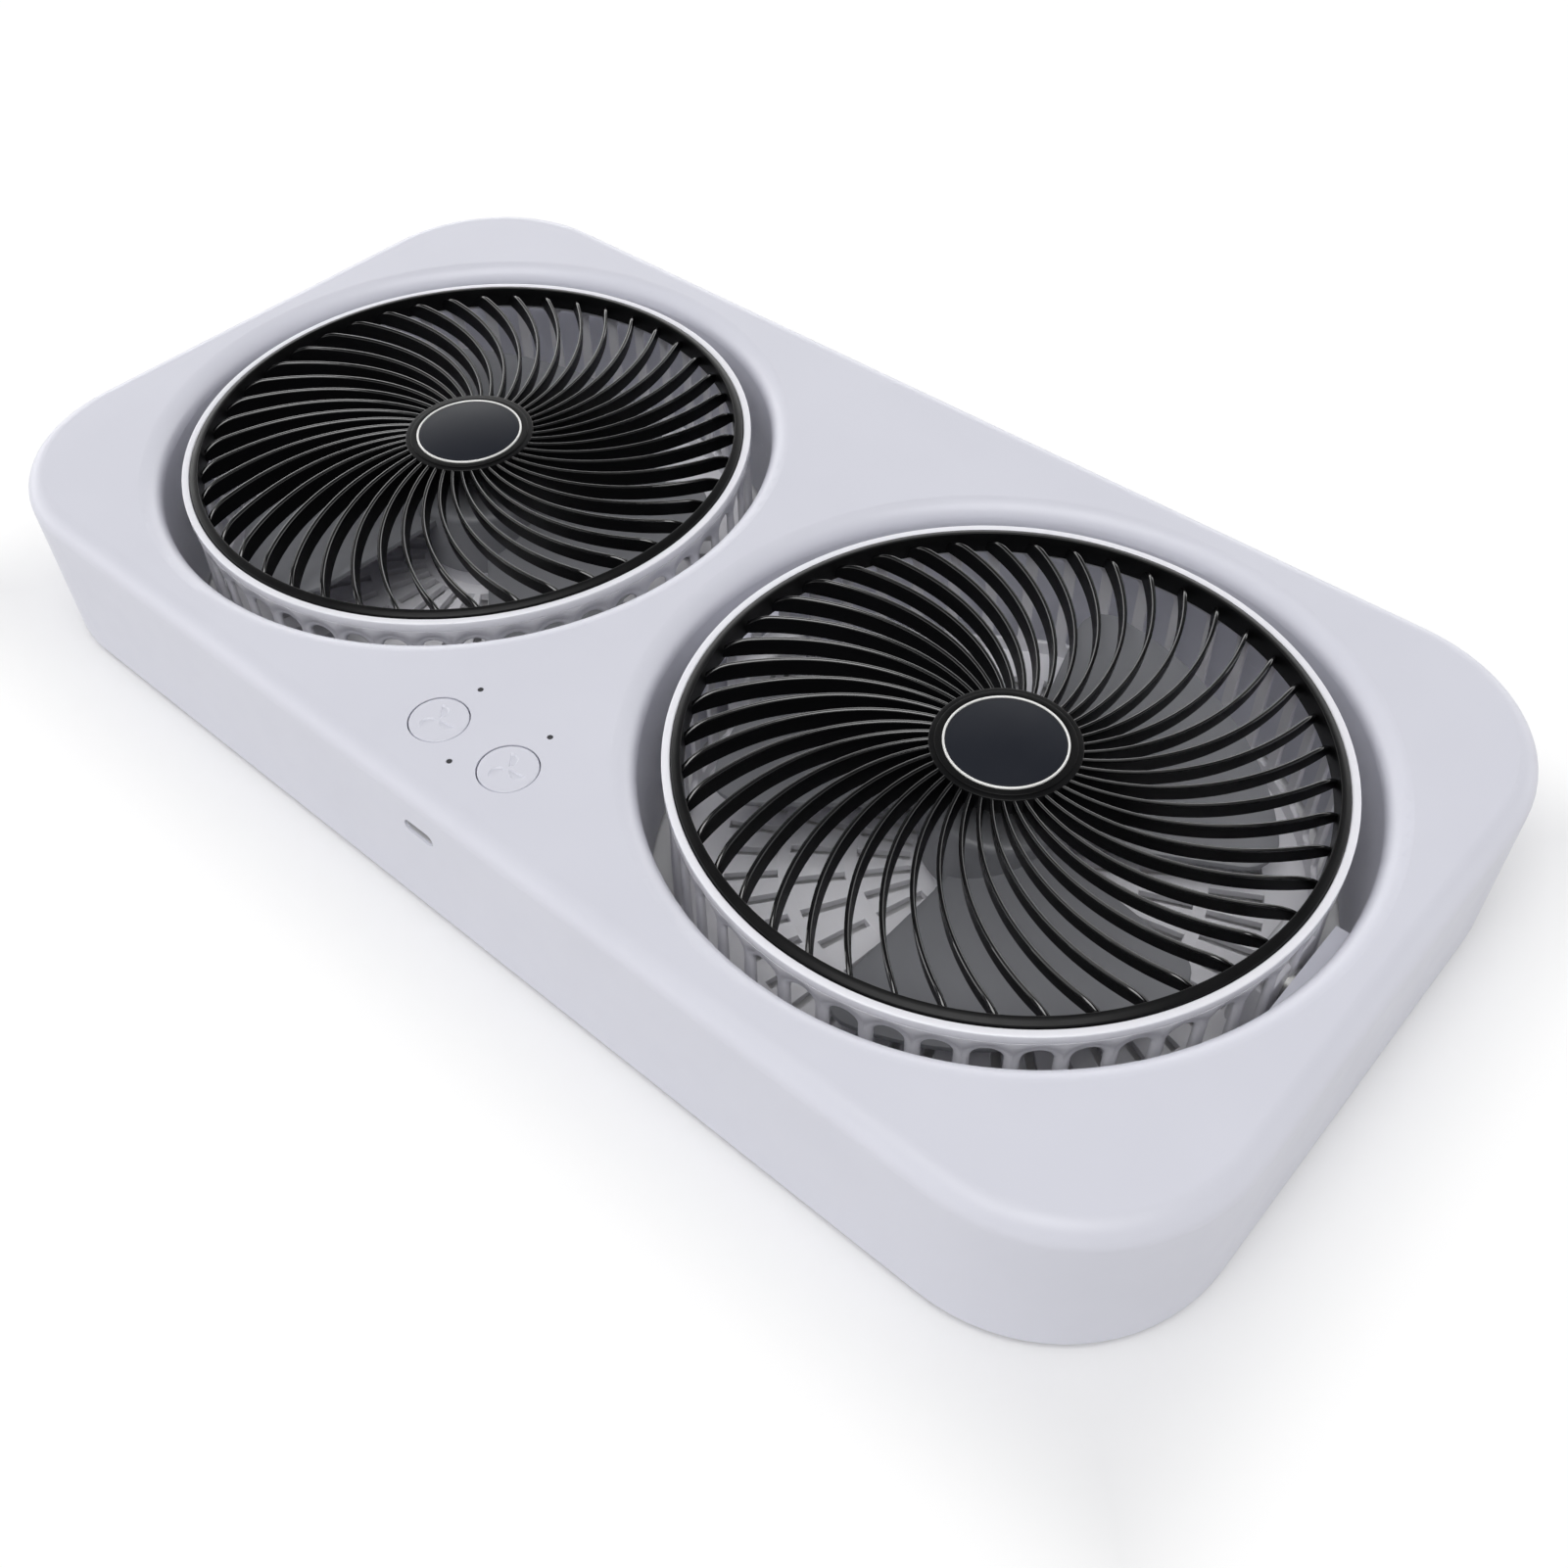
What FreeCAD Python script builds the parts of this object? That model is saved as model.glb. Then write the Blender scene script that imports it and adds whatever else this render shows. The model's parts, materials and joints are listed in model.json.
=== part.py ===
import FreeCAD, Part
import math
import os

from FreeCAD import Vector

# Dual-head desk fan, lying on its back, in millimetres.
# Origin: centre of the footprint, on the surface it stands on.
# +X runs along the long side, -Y is the side with the buttons, +Z is up.
# The left head is at -X and the right head at +X.

# Outer body
body_height = 44.5
end_margin = 8.7
side_margin = 9.0
body_corner_radius = 42.0
top_edge_radius = 5.0
bottom_edge_radius = 1.5
shell_wall = 2.2
cover_thickness = 2.2
cover_clearance = 0.2
foot_height = 1.5
cut_margin = 1.0

# Wells and tilting heads
head_diameter = 150.0
head_recess = 1.4
rim_drop = 1.1
well_gap = 5.5
lip_radius = 5.0
well_foot_radius = 1.0

# Tilt pivots, on the long axis of the body
pivot_boss_width = 28.0
pivot_boss_height = 14.0
pivot_boss_reach = 3.3
pivot_middle_gap = 3.6
pivot_side_gap = 0.5
pin_diameter = 8.0
pin_bore = 4.0
pin_end_gap = 0.5
pin_running_clearance = 0.05
pin_press_clearance = 0.02
bush_diameter = 12.0
fit_clearance = 0.05

# Case screws, feet and their bosses
screw_shank_diameter = 2.6
screw_head_diameter = 5.2
screw_head_height = 1.6
screw_length = 12.0
screw_head_sink = 0.2
screw_hole_clearance = 0.2
screw_head_clearance = 0.3
boss_diameter = 7.0
pad_diameter = 9.0
pad_height = 1.8
corner_screw_angle = 34.7
corner_screw_stand_off = 8.7
middle_screw_y = 46.0
foot_diameter = 14.0
foot_recess = 0.8
foot_clearance = 0.1
foot_angle = 49.7
foot_stand_off = 10.4

# Front controls
button_diameter = 13.5
button_spacing = 22.7
button_inset = 18.6
button_gap = 0.3
button_travel = 0.8
button_edge_radius = 0.5
button_cap_height = 3.4
button_flange_width = 1.5
button_flange_thickness = 1.0
button_flange_gap = 0.3
button_stem_diameter = 5.0
lamp_diameter = 1.2
lamp_clearance = 0.1
side_lamp_spacing = 22.8
side_lamp_inset = 30.9
middle_lamp_inset = 11.8
lamp_chip_size = 1.6
lamp_chip_height = 0.6

# Charging socket, seen in the front wall
socket_width = 8.94
socket_height = 3.26
socket_depth = 7.4
socket_wall = 0.3
socket_back = 1.2
socket_drop = 13.5
socket_inset = 0.6
socket_hole_clearance = 0.25
tongue_width = 6.7
tongue_thickness = 0.7
tongue_length = 4.6

# Control board and its switches
board_length = 50.0
board_width = 35.0
board_thickness = 1.6
board_wall_gap = 0.3
board_post_diameter = 6.0
board_post_inset = 4.5
board_screw_diameter = 1.8
board_screw_head_diameter = 3.6
board_screw_head_height = 1.3
board_screw_length = 8.0
switch_width = 6.0
switch_height = 4.3
plunger_diameter = 3.5
plunger_gap = 0.3
plunger_rise = 1.5
plunger_depth = 1.2
plunger_floor_gap = 0.4

# Battery in the rear pocket
pack_length = 58.0
pack_width = 17.0
pack_height = 27.0
pack_edge_radius = 3.0
pack_gap = 0.3
guard_board_thickness = 1.0
guard_board_inset = 2.0
tray_wall = 1.4
tray_floor = 1.2
tray_height = 18.0
tray_wall_gap = 1.4

# Head casing
cage_wall = 2.0
plate_thickness = 2.2
front_ring_height = 2.6
front_ring_wall = 1.8
grille_clearance = 0.1
grille_ring_depth = 4.6
grille_ring_width = 3.2
grille_crown_rise = 0.3
grille_crown_height = 1.0
ledge_height = 1.2
ledge_width = 1.8
side_slot_count = 48
side_slot_width = 6.5
side_slot_top = 6.4
side_slot_foot = 6.0
pivot_pad_width = 22.0
pivot_pad_height = 16.0
pivot_pad_depth = 9.0

# Radial slots of the rear plate, in three bands
inner_band_slots = 30
middle_band_slots = 30
outer_band_slots = 48
plate_slot_width = 2.2
band_web = 3.2
band_hub_margin = 3.9
band_edge_margin = 10.0

# Swirl grille
rib_count = 45
rib_rim_thickness = 1.75
rib_hub_thickness = 1.2
rib_depth = 4.5
rib_drop = 0.8
rib_sweep = 34.0
rib_end_length = 7.0
rib_end_drop = 2.3
rib_overlap = 0.6
hub_diameter = 33.8
hub_rise = 0.5
hub_edge_radius = 0.8
trim_diameter = 27.8
trim_width = 0.6
trim_rise = 0.3
trim_seat_depth = 1.2
hub_plate_clearance = 0.05
hub_plate_rise = 0.2

# Impeller
blade_count = 3
blade_span = 77.0
blade_thickness = 1.8
blade_tip_gap = 1.5
blade_root_rise = 11.5
blade_tip_rise = 18.0
blade_floor_gap = 9.8
blade_corner_radius = 9.0
blade_sections = 5
blade_trim = 3.0
impeller_hub_diameter = 35.4
impeller_hub_wall = 2.0
impeller_grille_gap = 9.6
impeller_skirt_margin = 3.5
impeller_crown_radius = 2.0
impeller_boss_diameter = 8.0
impeller_boss_length = 5.0
impeller_boss_gap = 2.0
impeller_rest_left = 117.5
impeller_rest_right = 68.0

# Motor
motor_diameter = 26.0
motor_seat = 1.6
motor_clearance = 0.15
motor_cup_wall = 2.0
motor_cup_gap = 1.0
motor_nose_diameter = 6.0
motor_nose_height = 1.2
motor_edge_radius = 1.0
shaft_diameter = 3.0
shaft_running_clearance = 0.05
shaft_hub_clearance = 0.02
shaft_in_motor = 8.0
shaft_end_gap = 0.2
motor_screw_circle = 16.0
motor_screw_count = 2
motor_screw_diameter = 2.4
motor_screw_head_diameter = 4.2
motor_screw_head_height = 1.4
motor_screw_length = 7.0

# Places worked out from the sizes above
base_z = foot_height
top_z = base_z + body_height
inner_top_z = top_z - shell_wall
cover_top_z = base_z + cover_thickness
boss_foot_z = base_z + cover_thickness + pad_height
pivot_z = base_z + body_height / 2
head_radius = head_diameter / 2
rim_z = top_z - rim_drop
head_bottom_z = base_z + head_recess
plate_top_z = head_bottom_z + plate_thickness
well_radius = head_radius + well_gap
skirt_radius = well_radius + shell_wall
lip_outer_radius = well_radius + lip_radius
pivot_boss_end = skirt_radius + pivot_boss_reach
head_x = pivot_boss_end + pivot_middle_gap / 2
body_length = 2 * (head_x + lip_outer_radius + end_margin)
body_width = 2 * (lip_outer_radius + side_margin)
front_y = -body_width / 2
button_x = button_spacing / 2
button_y = front_y + button_inset
side_lamp_x = side_lamp_spacing / 2
socket_z = top_z - socket_drop
board_top_z = socket_z - socket_height / 2
board_bottom_z = board_top_z - board_thickness
board_front_y = front_y + shell_wall + board_wall_gap
board_back_y = board_front_y + board_width
switch_top_z = board_top_z + switch_height
plunger_top_z = switch_top_z + plunger_rise
tray_half_length = pack_length / 2 + pack_gap
tray_half_width = pack_width / 2 + pack_gap
pack_y = body_width / 2 - shell_wall - tray_wall_gap - tray_wall - tray_half_width
pack_low_z = cover_top_z + tray_floor
pack_top_z = pack_low_z + pack_height
cage_inner_radius = head_radius - cage_wall
pad_inner_radius = head_radius - pivot_pad_depth
grille_bottom_z = rim_z - grille_ring_depth
grille_radius = head_radius - max(front_ring_wall, cage_wall) - grille_clearance
grille_inner_radius = grille_radius - grille_ring_width
rib_top_z = rim_z - rib_drop
rib_bottom_z = rib_top_z - rib_depth
hub_radius = hub_diameter / 2
hub_top_z = rim_z + hub_rise
trim_seat_z = hub_top_z - trim_seat_depth
impeller_hub_radius = impeller_hub_diameter / 2
impeller_top_z = rib_bottom_z - impeller_grille_gap
impeller_inside_z = impeller_top_z - impeller_hub_wall
impeller_boss_z = impeller_inside_z - impeller_boss_length
blade_tip_radius = pad_inner_radius - blade_tip_gap
blade_low_z = plate_top_z + blade_floor_gap
impeller_skirt_z = blade_low_z - impeller_skirt_margin
motor_base_z = plate_top_z + motor_seat
motor_nose_z = impeller_boss_z - impeller_boss_gap
motor_top_z = motor_nose_z - motor_nose_height
motor_cup_radius = motor_diameter / 2 + motor_clearance
motor_cup_top_z = impeller_skirt_z - motor_cup_gap
shaft_top_z = impeller_top_z - impeller_hub_wall / 2
shaft_bottom_z = motor_top_z - shaft_in_motor

solids = {}


# Basic solids
def disc(radius, low, high, x=0.0, y=0.0):
    return Part.makeCylinder(radius, high - low, Vector(x, y, low))


def rod_along_x(radius, start, end, y, z):
    return Part.makeCylinder(radius, end - start, Vector(start, y, z), Vector(1, 0, 0))


def block(x0, x1, y0, y1, z0, z1):
    return Part.makeBox(x1 - x0, y1 - y0, z1 - z0, Vector(x0, y0, z0))


def join(shapes):
    return shapes[0].multiFuse(shapes[1:]).removeSplitter()


def around_z(shape, angle):
    return shape.copy().rotate(Vector(0, 0, 0), Vector(0, 0, 1), angle)


def moved(shape, x, y=0.0, z=0.0):
    copy = shape.copy()
    copy.translate(Vector(x, y, z))
    return copy


def polar(radius, angle, z=0.0):
    return Vector(radius * math.cos(angle), radius * math.sin(angle), z)


# A solid of revolution about Z. Each step is the next (radius, height),
# or a pair: a point on an arc and the arc's end.
def turned(start, *steps):
    edges = []
    here = Vector(start[0], 0, start[1])
    for step in steps:
        if isinstance(step[0], tuple):
            middle = Vector(step[0][0], 0, step[0][1])
            end = Vector(step[1][0], 0, step[1][1])
            edges.append(Part.Arc(here, middle, end).toShape())
        else:
            end = Vector(step[0], 0, step[1])
            edges.append(Part.makeLine(here, end))
        here = end
    edges.append(Part.makeLine(here, Vector(start[0], 0, start[1])))
    face = Part.Face(Part.Wire(edges))
    return face.revolve(Vector(0, 0, 0), Vector(0, 0, 1), 360)


# Quarter round from one point to another, bulging towards the corner between them
def quarter(start, end, corner):
    bulge = math.sqrt(2) - 1
    chord_r = (start[0] + end[0]) / 2
    chord_z = (start[1] + end[1]) / 2
    middle = (chord_r + bulge * (corner[0] - chord_r), chord_z + bulge * (corner[1] - chord_z))
    return (middle, end)


# Slab with rounded corners, centred on the origin in plan
def rounded_slab(length, width, corner, low, high):
    slab = block(-length / 2, length / 2, -width / 2, width / 2, low, high)
    upright = [edge for edge in slab.Edges if edge.BoundBox.ZLength > (high - low) / 2]
    return slab.makeFillet(corner, upright)


def edges_at_height(shape, z):
    slack = 0.001
    return [e for e in shape.Edges if abs(e.BoundBox.ZMin - z) + abs(e.BoundBox.ZMax - z) < slack]


# Stadium bar along Y, for the socket and its hole
def stadium_bar(width, height, y0, y1, z):
    half = (width - height) / 2
    middle = block(-half, half, y0, y1, z - height / 2, z + height / 2)
    ends = []
    for x in (-half, half):
        ends.append(Part.makeCylinder(height / 2, y1 - y0, Vector(x, y0, z), Vector(0, 1, 0)))
    return join([middle] + ends)


# Places of repeated features
def head_places():
    return [("left", -head_x), ("right", head_x)]


# Four corners, outside the wells, at an angle and a distance from the wells' walls
def corner_places(angle, stand_off):
    reach = polar(skirt_radius + stand_off, math.radians(angle))
    places = []
    for x in (-head_x - reach.x, head_x + reach.x):
        for y in (-reach.y, reach.y):
            places.append((x, y))
    return places


def case_screw_places():
    middle = [(0.0, -middle_screw_y), (0.0, middle_screw_y)]
    return middle + corner_places(corner_screw_angle, corner_screw_stand_off)


def foot_places():
    return corner_places(foot_angle, foot_stand_off)


def board_screw_places():
    places = []
    post_x = board_length / 2 - board_post_inset
    for x in (-post_x, post_x):
        for y in (board_front_y + board_post_inset, board_back_y - board_post_inset):
            places.append((x, y))
    return places


def lamp_places():
    side_y = front_y + side_lamp_inset
    return [(-side_lamp_x, side_y), (side_lamp_x, side_y), (0.0, front_y + middle_lamp_inset)]


def button_places():
    return [("left", -button_x), ("right", button_x)]


# Round well with a rolled lip at the top and a small one at the foot
def well_tool():
    roll = lip_outer_radius
    foot = well_radius + well_foot_radius
    return turned(
        (0.0, base_z - cut_margin),
        (foot, base_z - cut_margin),
        (foot, base_z),
        quarter((foot, base_z), (well_radius, base_z + well_foot_radius), (well_radius, base_z)),
        (well_radius, top_z - lip_radius),
        quarter((well_radius, top_z - lip_radius), (roll, top_z), (well_radius, top_z)),
        (roll, top_z + cut_margin),
        (0.0, top_z + cut_margin),
    )


# Wall that stands round a well in the upper shell, flaring under the lip
def upper_skirt():
    column = disc(skirt_radius, pivot_z, top_z)
    flare = Part.makeCone(
        skirt_radius, lip_outer_radius, lip_radius - shell_wall, Vector(0, 0, top_z - lip_radius)
    )
    cap = disc(lip_outer_radius, inner_top_z, top_z)
    return join([column, flare, cap])


# Pivot blocks stand in the gap at both ends of a well, on the tilt axis
def pivot_blocks(low, high):
    blocks = []
    inner = head_radius + pivot_side_gap
    for side in (-1, 1):
        ends = sorted((side * inner, side * pivot_boss_end))
        blocks.append(
            block(ends[0], ends[1], -pivot_boss_width / 2, pivot_boss_width / 2, low, high)
        )
    return blocks


def pivot_bores(radius):
    bores = []
    for side in (-1, 1):
        ends = sorted((side * head_radius, side * (pivot_boss_end + cut_margin)))
        bores.append(rod_along_x(radius, ends[0], ends[1], 0, pivot_z))
    return bores


# Upper shell: outer wall, top face, well skirts, bosses and posts
def top_shell():
    outer = rounded_slab(body_length, body_width, body_corner_radius, base_z, top_z)
    outer = outer.makeFillet(top_edge_radius, edges_at_height(outer, top_z))
    outer = outer.makeFillet(bottom_edge_radius, edges_at_height(outer, base_z))
    cavity = rounded_slab(
        body_length - 2 * shell_wall,
        body_width - 2 * shell_wall,
        body_corner_radius - shell_wall,
        base_z - cut_margin,
        inner_top_z,
    )
    inner_edge_radius = max(top_edge_radius - shell_wall, shell_wall / 4)
    cavity = cavity.makeFillet(inner_edge_radius, edges_at_height(cavity, inner_top_z))
    kept = []
    blocks = []
    for name, x in head_places():
        kept.append(moved(upper_skirt(), x))
        for piece in pivot_blocks(pivot_z, pivot_z + pivot_boss_height / 2):
            blocks.append(moved(piece, x))
    for x, y in case_screw_places():
        kept.append(disc(boss_diameter / 2, boss_foot_z, top_z, x, y))
    for x, y in board_screw_places():
        kept.append(disc(board_post_diameter / 2, board_top_z, top_z, x, y))
    shell = outer.cut(cavity.cut(join(kept)))
    for name, x in head_places():
        shell = shell.cut(moved(well_tool(), x))
    shell = join([shell] + blocks)
    holes = []
    for name, x in head_places():
        for bore in pivot_bores(bush_diameter / 2 + fit_clearance):
            holes.append(moved(bore, x))
    for x, y in case_screw_places():
        pilot = screw_shank_diameter / 2 + fit_clearance
        holes.append(disc(pilot, boss_foot_z, boss_foot_z + screw_length, x, y))
    for x, y in board_screw_places():
        pilot = board_screw_diameter / 2 + fit_clearance
        holes.append(disc(pilot, board_top_z, board_top_z + board_screw_length, x, y))
    low = inner_top_z - cut_margin
    high = top_z + cut_margin
    for name, x in button_places():
        holes.append(disc(button_diameter / 2 + button_gap, low, high, x, button_y))
    for x, y in lamp_places():
        holes.append(disc(lamp_diameter / 2 + lamp_clearance, low, high, x, y))
    holes.append(
        stadium_bar(
            socket_width + 2 * socket_hole_clearance,
            socket_height + 2 * socket_hole_clearance,
            front_y - cut_margin,
            front_y + shell_wall + cut_margin,
            socket_z,
        )
    )
    return shell.cut(holes[0].multiFuse(holes[1:]))


# Bottom cover: a plate inside the outer wall, with the lower half of each well
def bottom_cover():
    inset = shell_wall + cover_clearance
    cover = rounded_slab(
        body_length - 2 * inset,
        body_width - 2 * inset,
        body_corner_radius - inset,
        base_z,
        cover_top_z,
    )
    added = []
    for name, x in head_places():
        added.append(disc(skirt_radius, base_z, pivot_z, x))
    for x, y in case_screw_places():
        added.append(disc(pad_diameter / 2, base_z, boss_foot_z, x, y))
    cover = join([cover] + added)
    for name, x in head_places():
        cover = cover.cut(moved(well_tool(), x))
    blocks = []
    for name, x in head_places():
        for piece in pivot_blocks(pivot_z - pivot_boss_height / 2, pivot_z):
            blocks.append(moved(piece, x))
    cover = join([cover] + blocks)
    holes = []
    for name, x in head_places():
        for bore in pivot_bores(bush_diameter / 2 + fit_clearance):
            holes.append(moved(bore, x))
    head_hole = screw_head_diameter / 2 + screw_head_clearance
    for x, y in case_screw_places():
        holes.append(disc(screw_shank_diameter / 2 + screw_hole_clearance, base_z, boss_foot_z, x, y))
        holes.append(disc(head_hole, base_z, base_z + screw_head_sink + screw_head_height, x, y))
    for x, y in foot_places():
        holes.append(disc(foot_diameter / 2 + foot_clearance, base_z, base_z + foot_recess, x, y))
    return cover.cut(holes[0].multiFuse(holes[1:]))


def rubber_feet():
    feet = []
    for x, y in foot_places():
        foot = disc(foot_diameter / 2, 0, base_z + foot_recess, x, y)
        feet.append(foot.makeChamfer(foot_height / 3, edges_at_height(foot, 0)))
    return Part.makeCompound(feet)


# Pan-head screw that points up, with its head's underside at z
def screw_up(x, y, z, shank, length, head, head_height):
    return join([
        disc(shank / 2, z, z + length, x, y),
        disc(head / 2, z - head_height, z, x, y),
    ])


def case_screws():
    seat = base_z + screw_head_sink + screw_head_height
    screws = []
    for x, y in case_screw_places():
        screws.append(
            screw_up(x, y, seat, screw_shank_diameter, screw_length, screw_head_diameter, screw_head_height)
        )
    return Part.makeCompound(screws)


# Control electronics
def control_board():
    board = block(
        -board_length / 2, board_length / 2, board_front_y, board_back_y, board_bottom_z, board_top_z
    )
    hole = board_screw_diameter / 2 + screw_hole_clearance
    for x, y in board_screw_places():
        board = board.cut(disc(hole, board_bottom_z, board_top_z, x, y))
    return board


def board_screws():
    screws = []
    for x, y in board_screw_places():
        screws.append(
            screw_up(
                x, y, board_bottom_z, board_screw_diameter, board_screw_length,
                board_screw_head_diameter, board_screw_head_height
            )
        )
    return Part.makeCompound(screws)


def charging_socket():
    front = front_y + socket_inset
    back = front + socket_depth
    shell = stadium_bar(socket_width, socket_height, front, back, socket_z)
    mouth = stadium_bar(
        socket_width - 2 * socket_wall,
        socket_height - 2 * socket_wall,
        front - cut_margin,
        back - socket_back,
        socket_z,
    )
    tongue = block(
        -tongue_width / 2,
        tongue_width / 2,
        back - socket_back - tongue_length,
        back - socket_back,
        socket_z - tongue_thickness / 2,
        socket_z + tongue_thickness / 2,
    )
    return join([shell.cut(mouth), tongue])


def lamp_pipes():
    pipes = []
    for x, y in lamp_places():
        pipes.append(disc(lamp_diameter / 2, board_top_z + lamp_chip_height, top_z, x, y))
    return Part.makeCompound(pipes)


def lamp_chips():
    half = lamp_chip_size / 2
    chips = []
    for x, y in lamp_places():
        chips.append(
            block(x - half, x + half, y - half, y + half, board_top_z, board_top_z + lamp_chip_height)
        )
    return Part.makeCompound(chips)


def switch_body(x):
    half = switch_width / 2
    body = block(x - half, x + half, button_y - half, button_y + half, board_top_z, switch_top_z)
    floor = switch_top_z - plunger_depth - button_travel - plunger_floor_gap
    return body.cut(disc(plunger_diameter / 2 + plunger_gap, floor, switch_top_z, x, button_y))


def switch_plunger(x):
    return disc(plunger_diameter / 2, switch_top_z - plunger_depth, plunger_top_z, x, button_y)


def button(x):
    cap = disc(button_diameter / 2, top_z - button_cap_height, top_z, x, button_y)
    cap = cap.makeFillet(button_edge_radius, edges_at_height(cap, top_z))
    flange_top = inner_top_z - button_flange_gap
    flange_bottom = flange_top - button_flange_thickness
    flange = disc(button_diameter / 2 + button_flange_width, flange_bottom, flange_top, x, button_y)
    stem = disc(button_stem_diameter / 2, plunger_top_z, top_z - button_cap_height / 2, x, button_y)
    return join([cap, flange, stem])


# Battery pack in an open tray, in the pocket between the wells at the back
def battery_tray():
    outer = block(
        -tray_half_length - tray_wall,
        tray_half_length + tray_wall,
        pack_y - tray_half_width - tray_wall,
        pack_y + tray_half_width + tray_wall,
        cover_top_z,
        cover_top_z + tray_height,
    )
    inner = block(
        -tray_half_length,
        tray_half_length,
        pack_y - tray_half_width,
        pack_y + tray_half_width,
        pack_low_z,
        cover_top_z + tray_height,
    )
    return outer.cut(inner)


def battery_pack():
    half_length = pack_length / 2
    half_width = pack_width / 2
    pack = block(
        -half_length, half_length, pack_y - half_width, pack_y + half_width, pack_low_z, pack_top_z
    )
    long_edges = [edge for edge in pack.Edges if edge.BoundBox.XLength > half_length]
    return pack.makeFillet(pack_edge_radius, long_edges)


# Small guard board lying on top of the pack
def battery_guard_board():
    half_length = pack_length / 2 - guard_board_inset
    half_width = pack_width / 2 - pack_edge_radius
    return block(
        -half_length,
        half_length,
        pack_y - half_width,
        pack_y + half_width,
        pack_top_z,
        pack_top_z + guard_board_thickness,
    )


# Tilt pivots
def pivot_bushes(x):
    bushes = []
    inner = head_radius + pivot_side_gap
    for side in (-1, 1):
        ends = sorted((x + side * inner, x + side * pivot_boss_end))
        sleeve = rod_along_x(bush_diameter / 2, ends[0], ends[1], 0, pivot_z)
        bore = rod_along_x(pin_diameter / 2 + pin_running_clearance, ends[0], ends[1], 0, pivot_z)
        bushes.append(sleeve.cut(bore))
    return Part.makeCompound(bushes)


def pivot_pins(x):
    pins = []
    end = pivot_boss_end - pin_end_gap
    for side in (-1, 1):
        ends = sorted((x + side * pad_inner_radius, x + side * end))
        pin = rod_along_x(pin_diameter / 2, ends[0], ends[1], 0, pivot_z)
        pins.append(pin.cut(rod_along_x(pin_bore / 2, ends[0], ends[1], 0, pivot_z)))
    return Part.makeCompound(pins)


# Radial slots of the rear plate: bars laid along the radius and repeated round Z, band by band
def plate_slots():
    counts = [inner_band_slots, middle_band_slots, outer_band_slots]
    start = motor_cup_radius + motor_cup_wall + band_hub_margin
    end = cage_inner_radius - band_edge_margin
    length = (end - start - band_web * (len(counts) - 1)) / len(counts)
    half = plate_slot_width / 2
    low = head_bottom_z - cut_margin
    high = plate_top_z + cut_margin
    slots = []
    for band, count in enumerate(counts):
        inner = start + band * (length + band_web)
        bar = block(inner, inner + length, -half, half, low, high)
        slots += [around_z(bar, 360.0 * i / count) for i in range(count)]
    return slots


# Arched slots of the side wall
def side_slots():
    half = side_slot_width / 2
    arch_z = rim_z - side_slot_top - half
    inner = cage_inner_radius - cut_margin
    outer = head_radius + cut_margin
    bar = block(inner, outer, -half, half, head_bottom_z + side_slot_foot, arch_z)
    arch = Part.makeCylinder(half, outer - inner, Vector(inner, 0, arch_z), Vector(1, 0, 0))
    slot = bar.fuse(arch)
    return [around_z(slot, 360.0 * (i + 0.5) / side_slot_count) for i in range(side_slot_count)]


# Head casing: slotted side wall, slotted rear plate, motor cup and pivot pads
def rear_cage():
    wall = disc(head_radius, head_bottom_z, rim_z - front_ring_height)
    wall = wall.cut(disc(cage_inner_radius, head_bottom_z, rim_z))
    wall = wall.cut(side_slots())
    plate = disc(cage_inner_radius, head_bottom_z, plate_top_z)
    plate = plate.cut(plate_slots())
    cup = disc(motor_cup_radius + motor_cup_wall, plate_top_z, motor_cup_top_z)
    cup = cup.cut(disc(motor_cup_radius, motor_base_z, motor_cup_top_z))
    ledge_top_z = grille_bottom_z - fit_clearance
    ledge_foot_z = ledge_top_z - ledge_height
    ledge = disc(cage_inner_radius, ledge_foot_z, ledge_top_z)
    ledge = ledge.cut(disc(cage_inner_radius - ledge_width, ledge_foot_z, ledge_top_z))
    pads = []
    for side in (-1, 1):
        ends = sorted((side * pad_inner_radius, side * head_radius))
        pads.append(
            block(
                ends[0], ends[1], -pivot_pad_width / 2, pivot_pad_width / 2,
                pivot_z - pivot_pad_height / 2, pivot_z + pivot_pad_height / 2
            ).common(disc(head_radius, head_bottom_z, rim_z))
        )
    cage = join([wall, plate, cup, ledge] + pads)
    holes = [rod_along_x(pin_diameter / 2 + pin_press_clearance, -head_radius, head_radius, 0, pivot_z)]
    for x, y in motor_screw_places():
        holes.append(disc(motor_screw_diameter / 2 + fit_clearance, head_bottom_z, motor_base_z, x, y))
        sink = motor_screw_head_diameter / 2 + screw_head_clearance
        holes.append(disc(sink, head_bottom_z, head_bottom_z + motor_screw_head_height, x, y))
    return cage.cut(holes)


def motor_screw_places():
    places = []
    for i in range(motor_screw_count):
        point = polar(motor_screw_circle / 2, 2 * math.pi * i / motor_screw_count)
        places.append((point.x, point.y))
    return places


# White ring round the grille, with a rounded front edge
def front_ring():
    inner = head_radius - front_ring_wall
    crown = front_ring_wall / 2
    return turned(
        (inner, rim_z - front_ring_height),
        (head_radius, rim_z - front_ring_height),
        (head_radius, rim_z - crown),
        ((head_radius - crown, rim_z), (inner, rim_z - crown)),
    )


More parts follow.
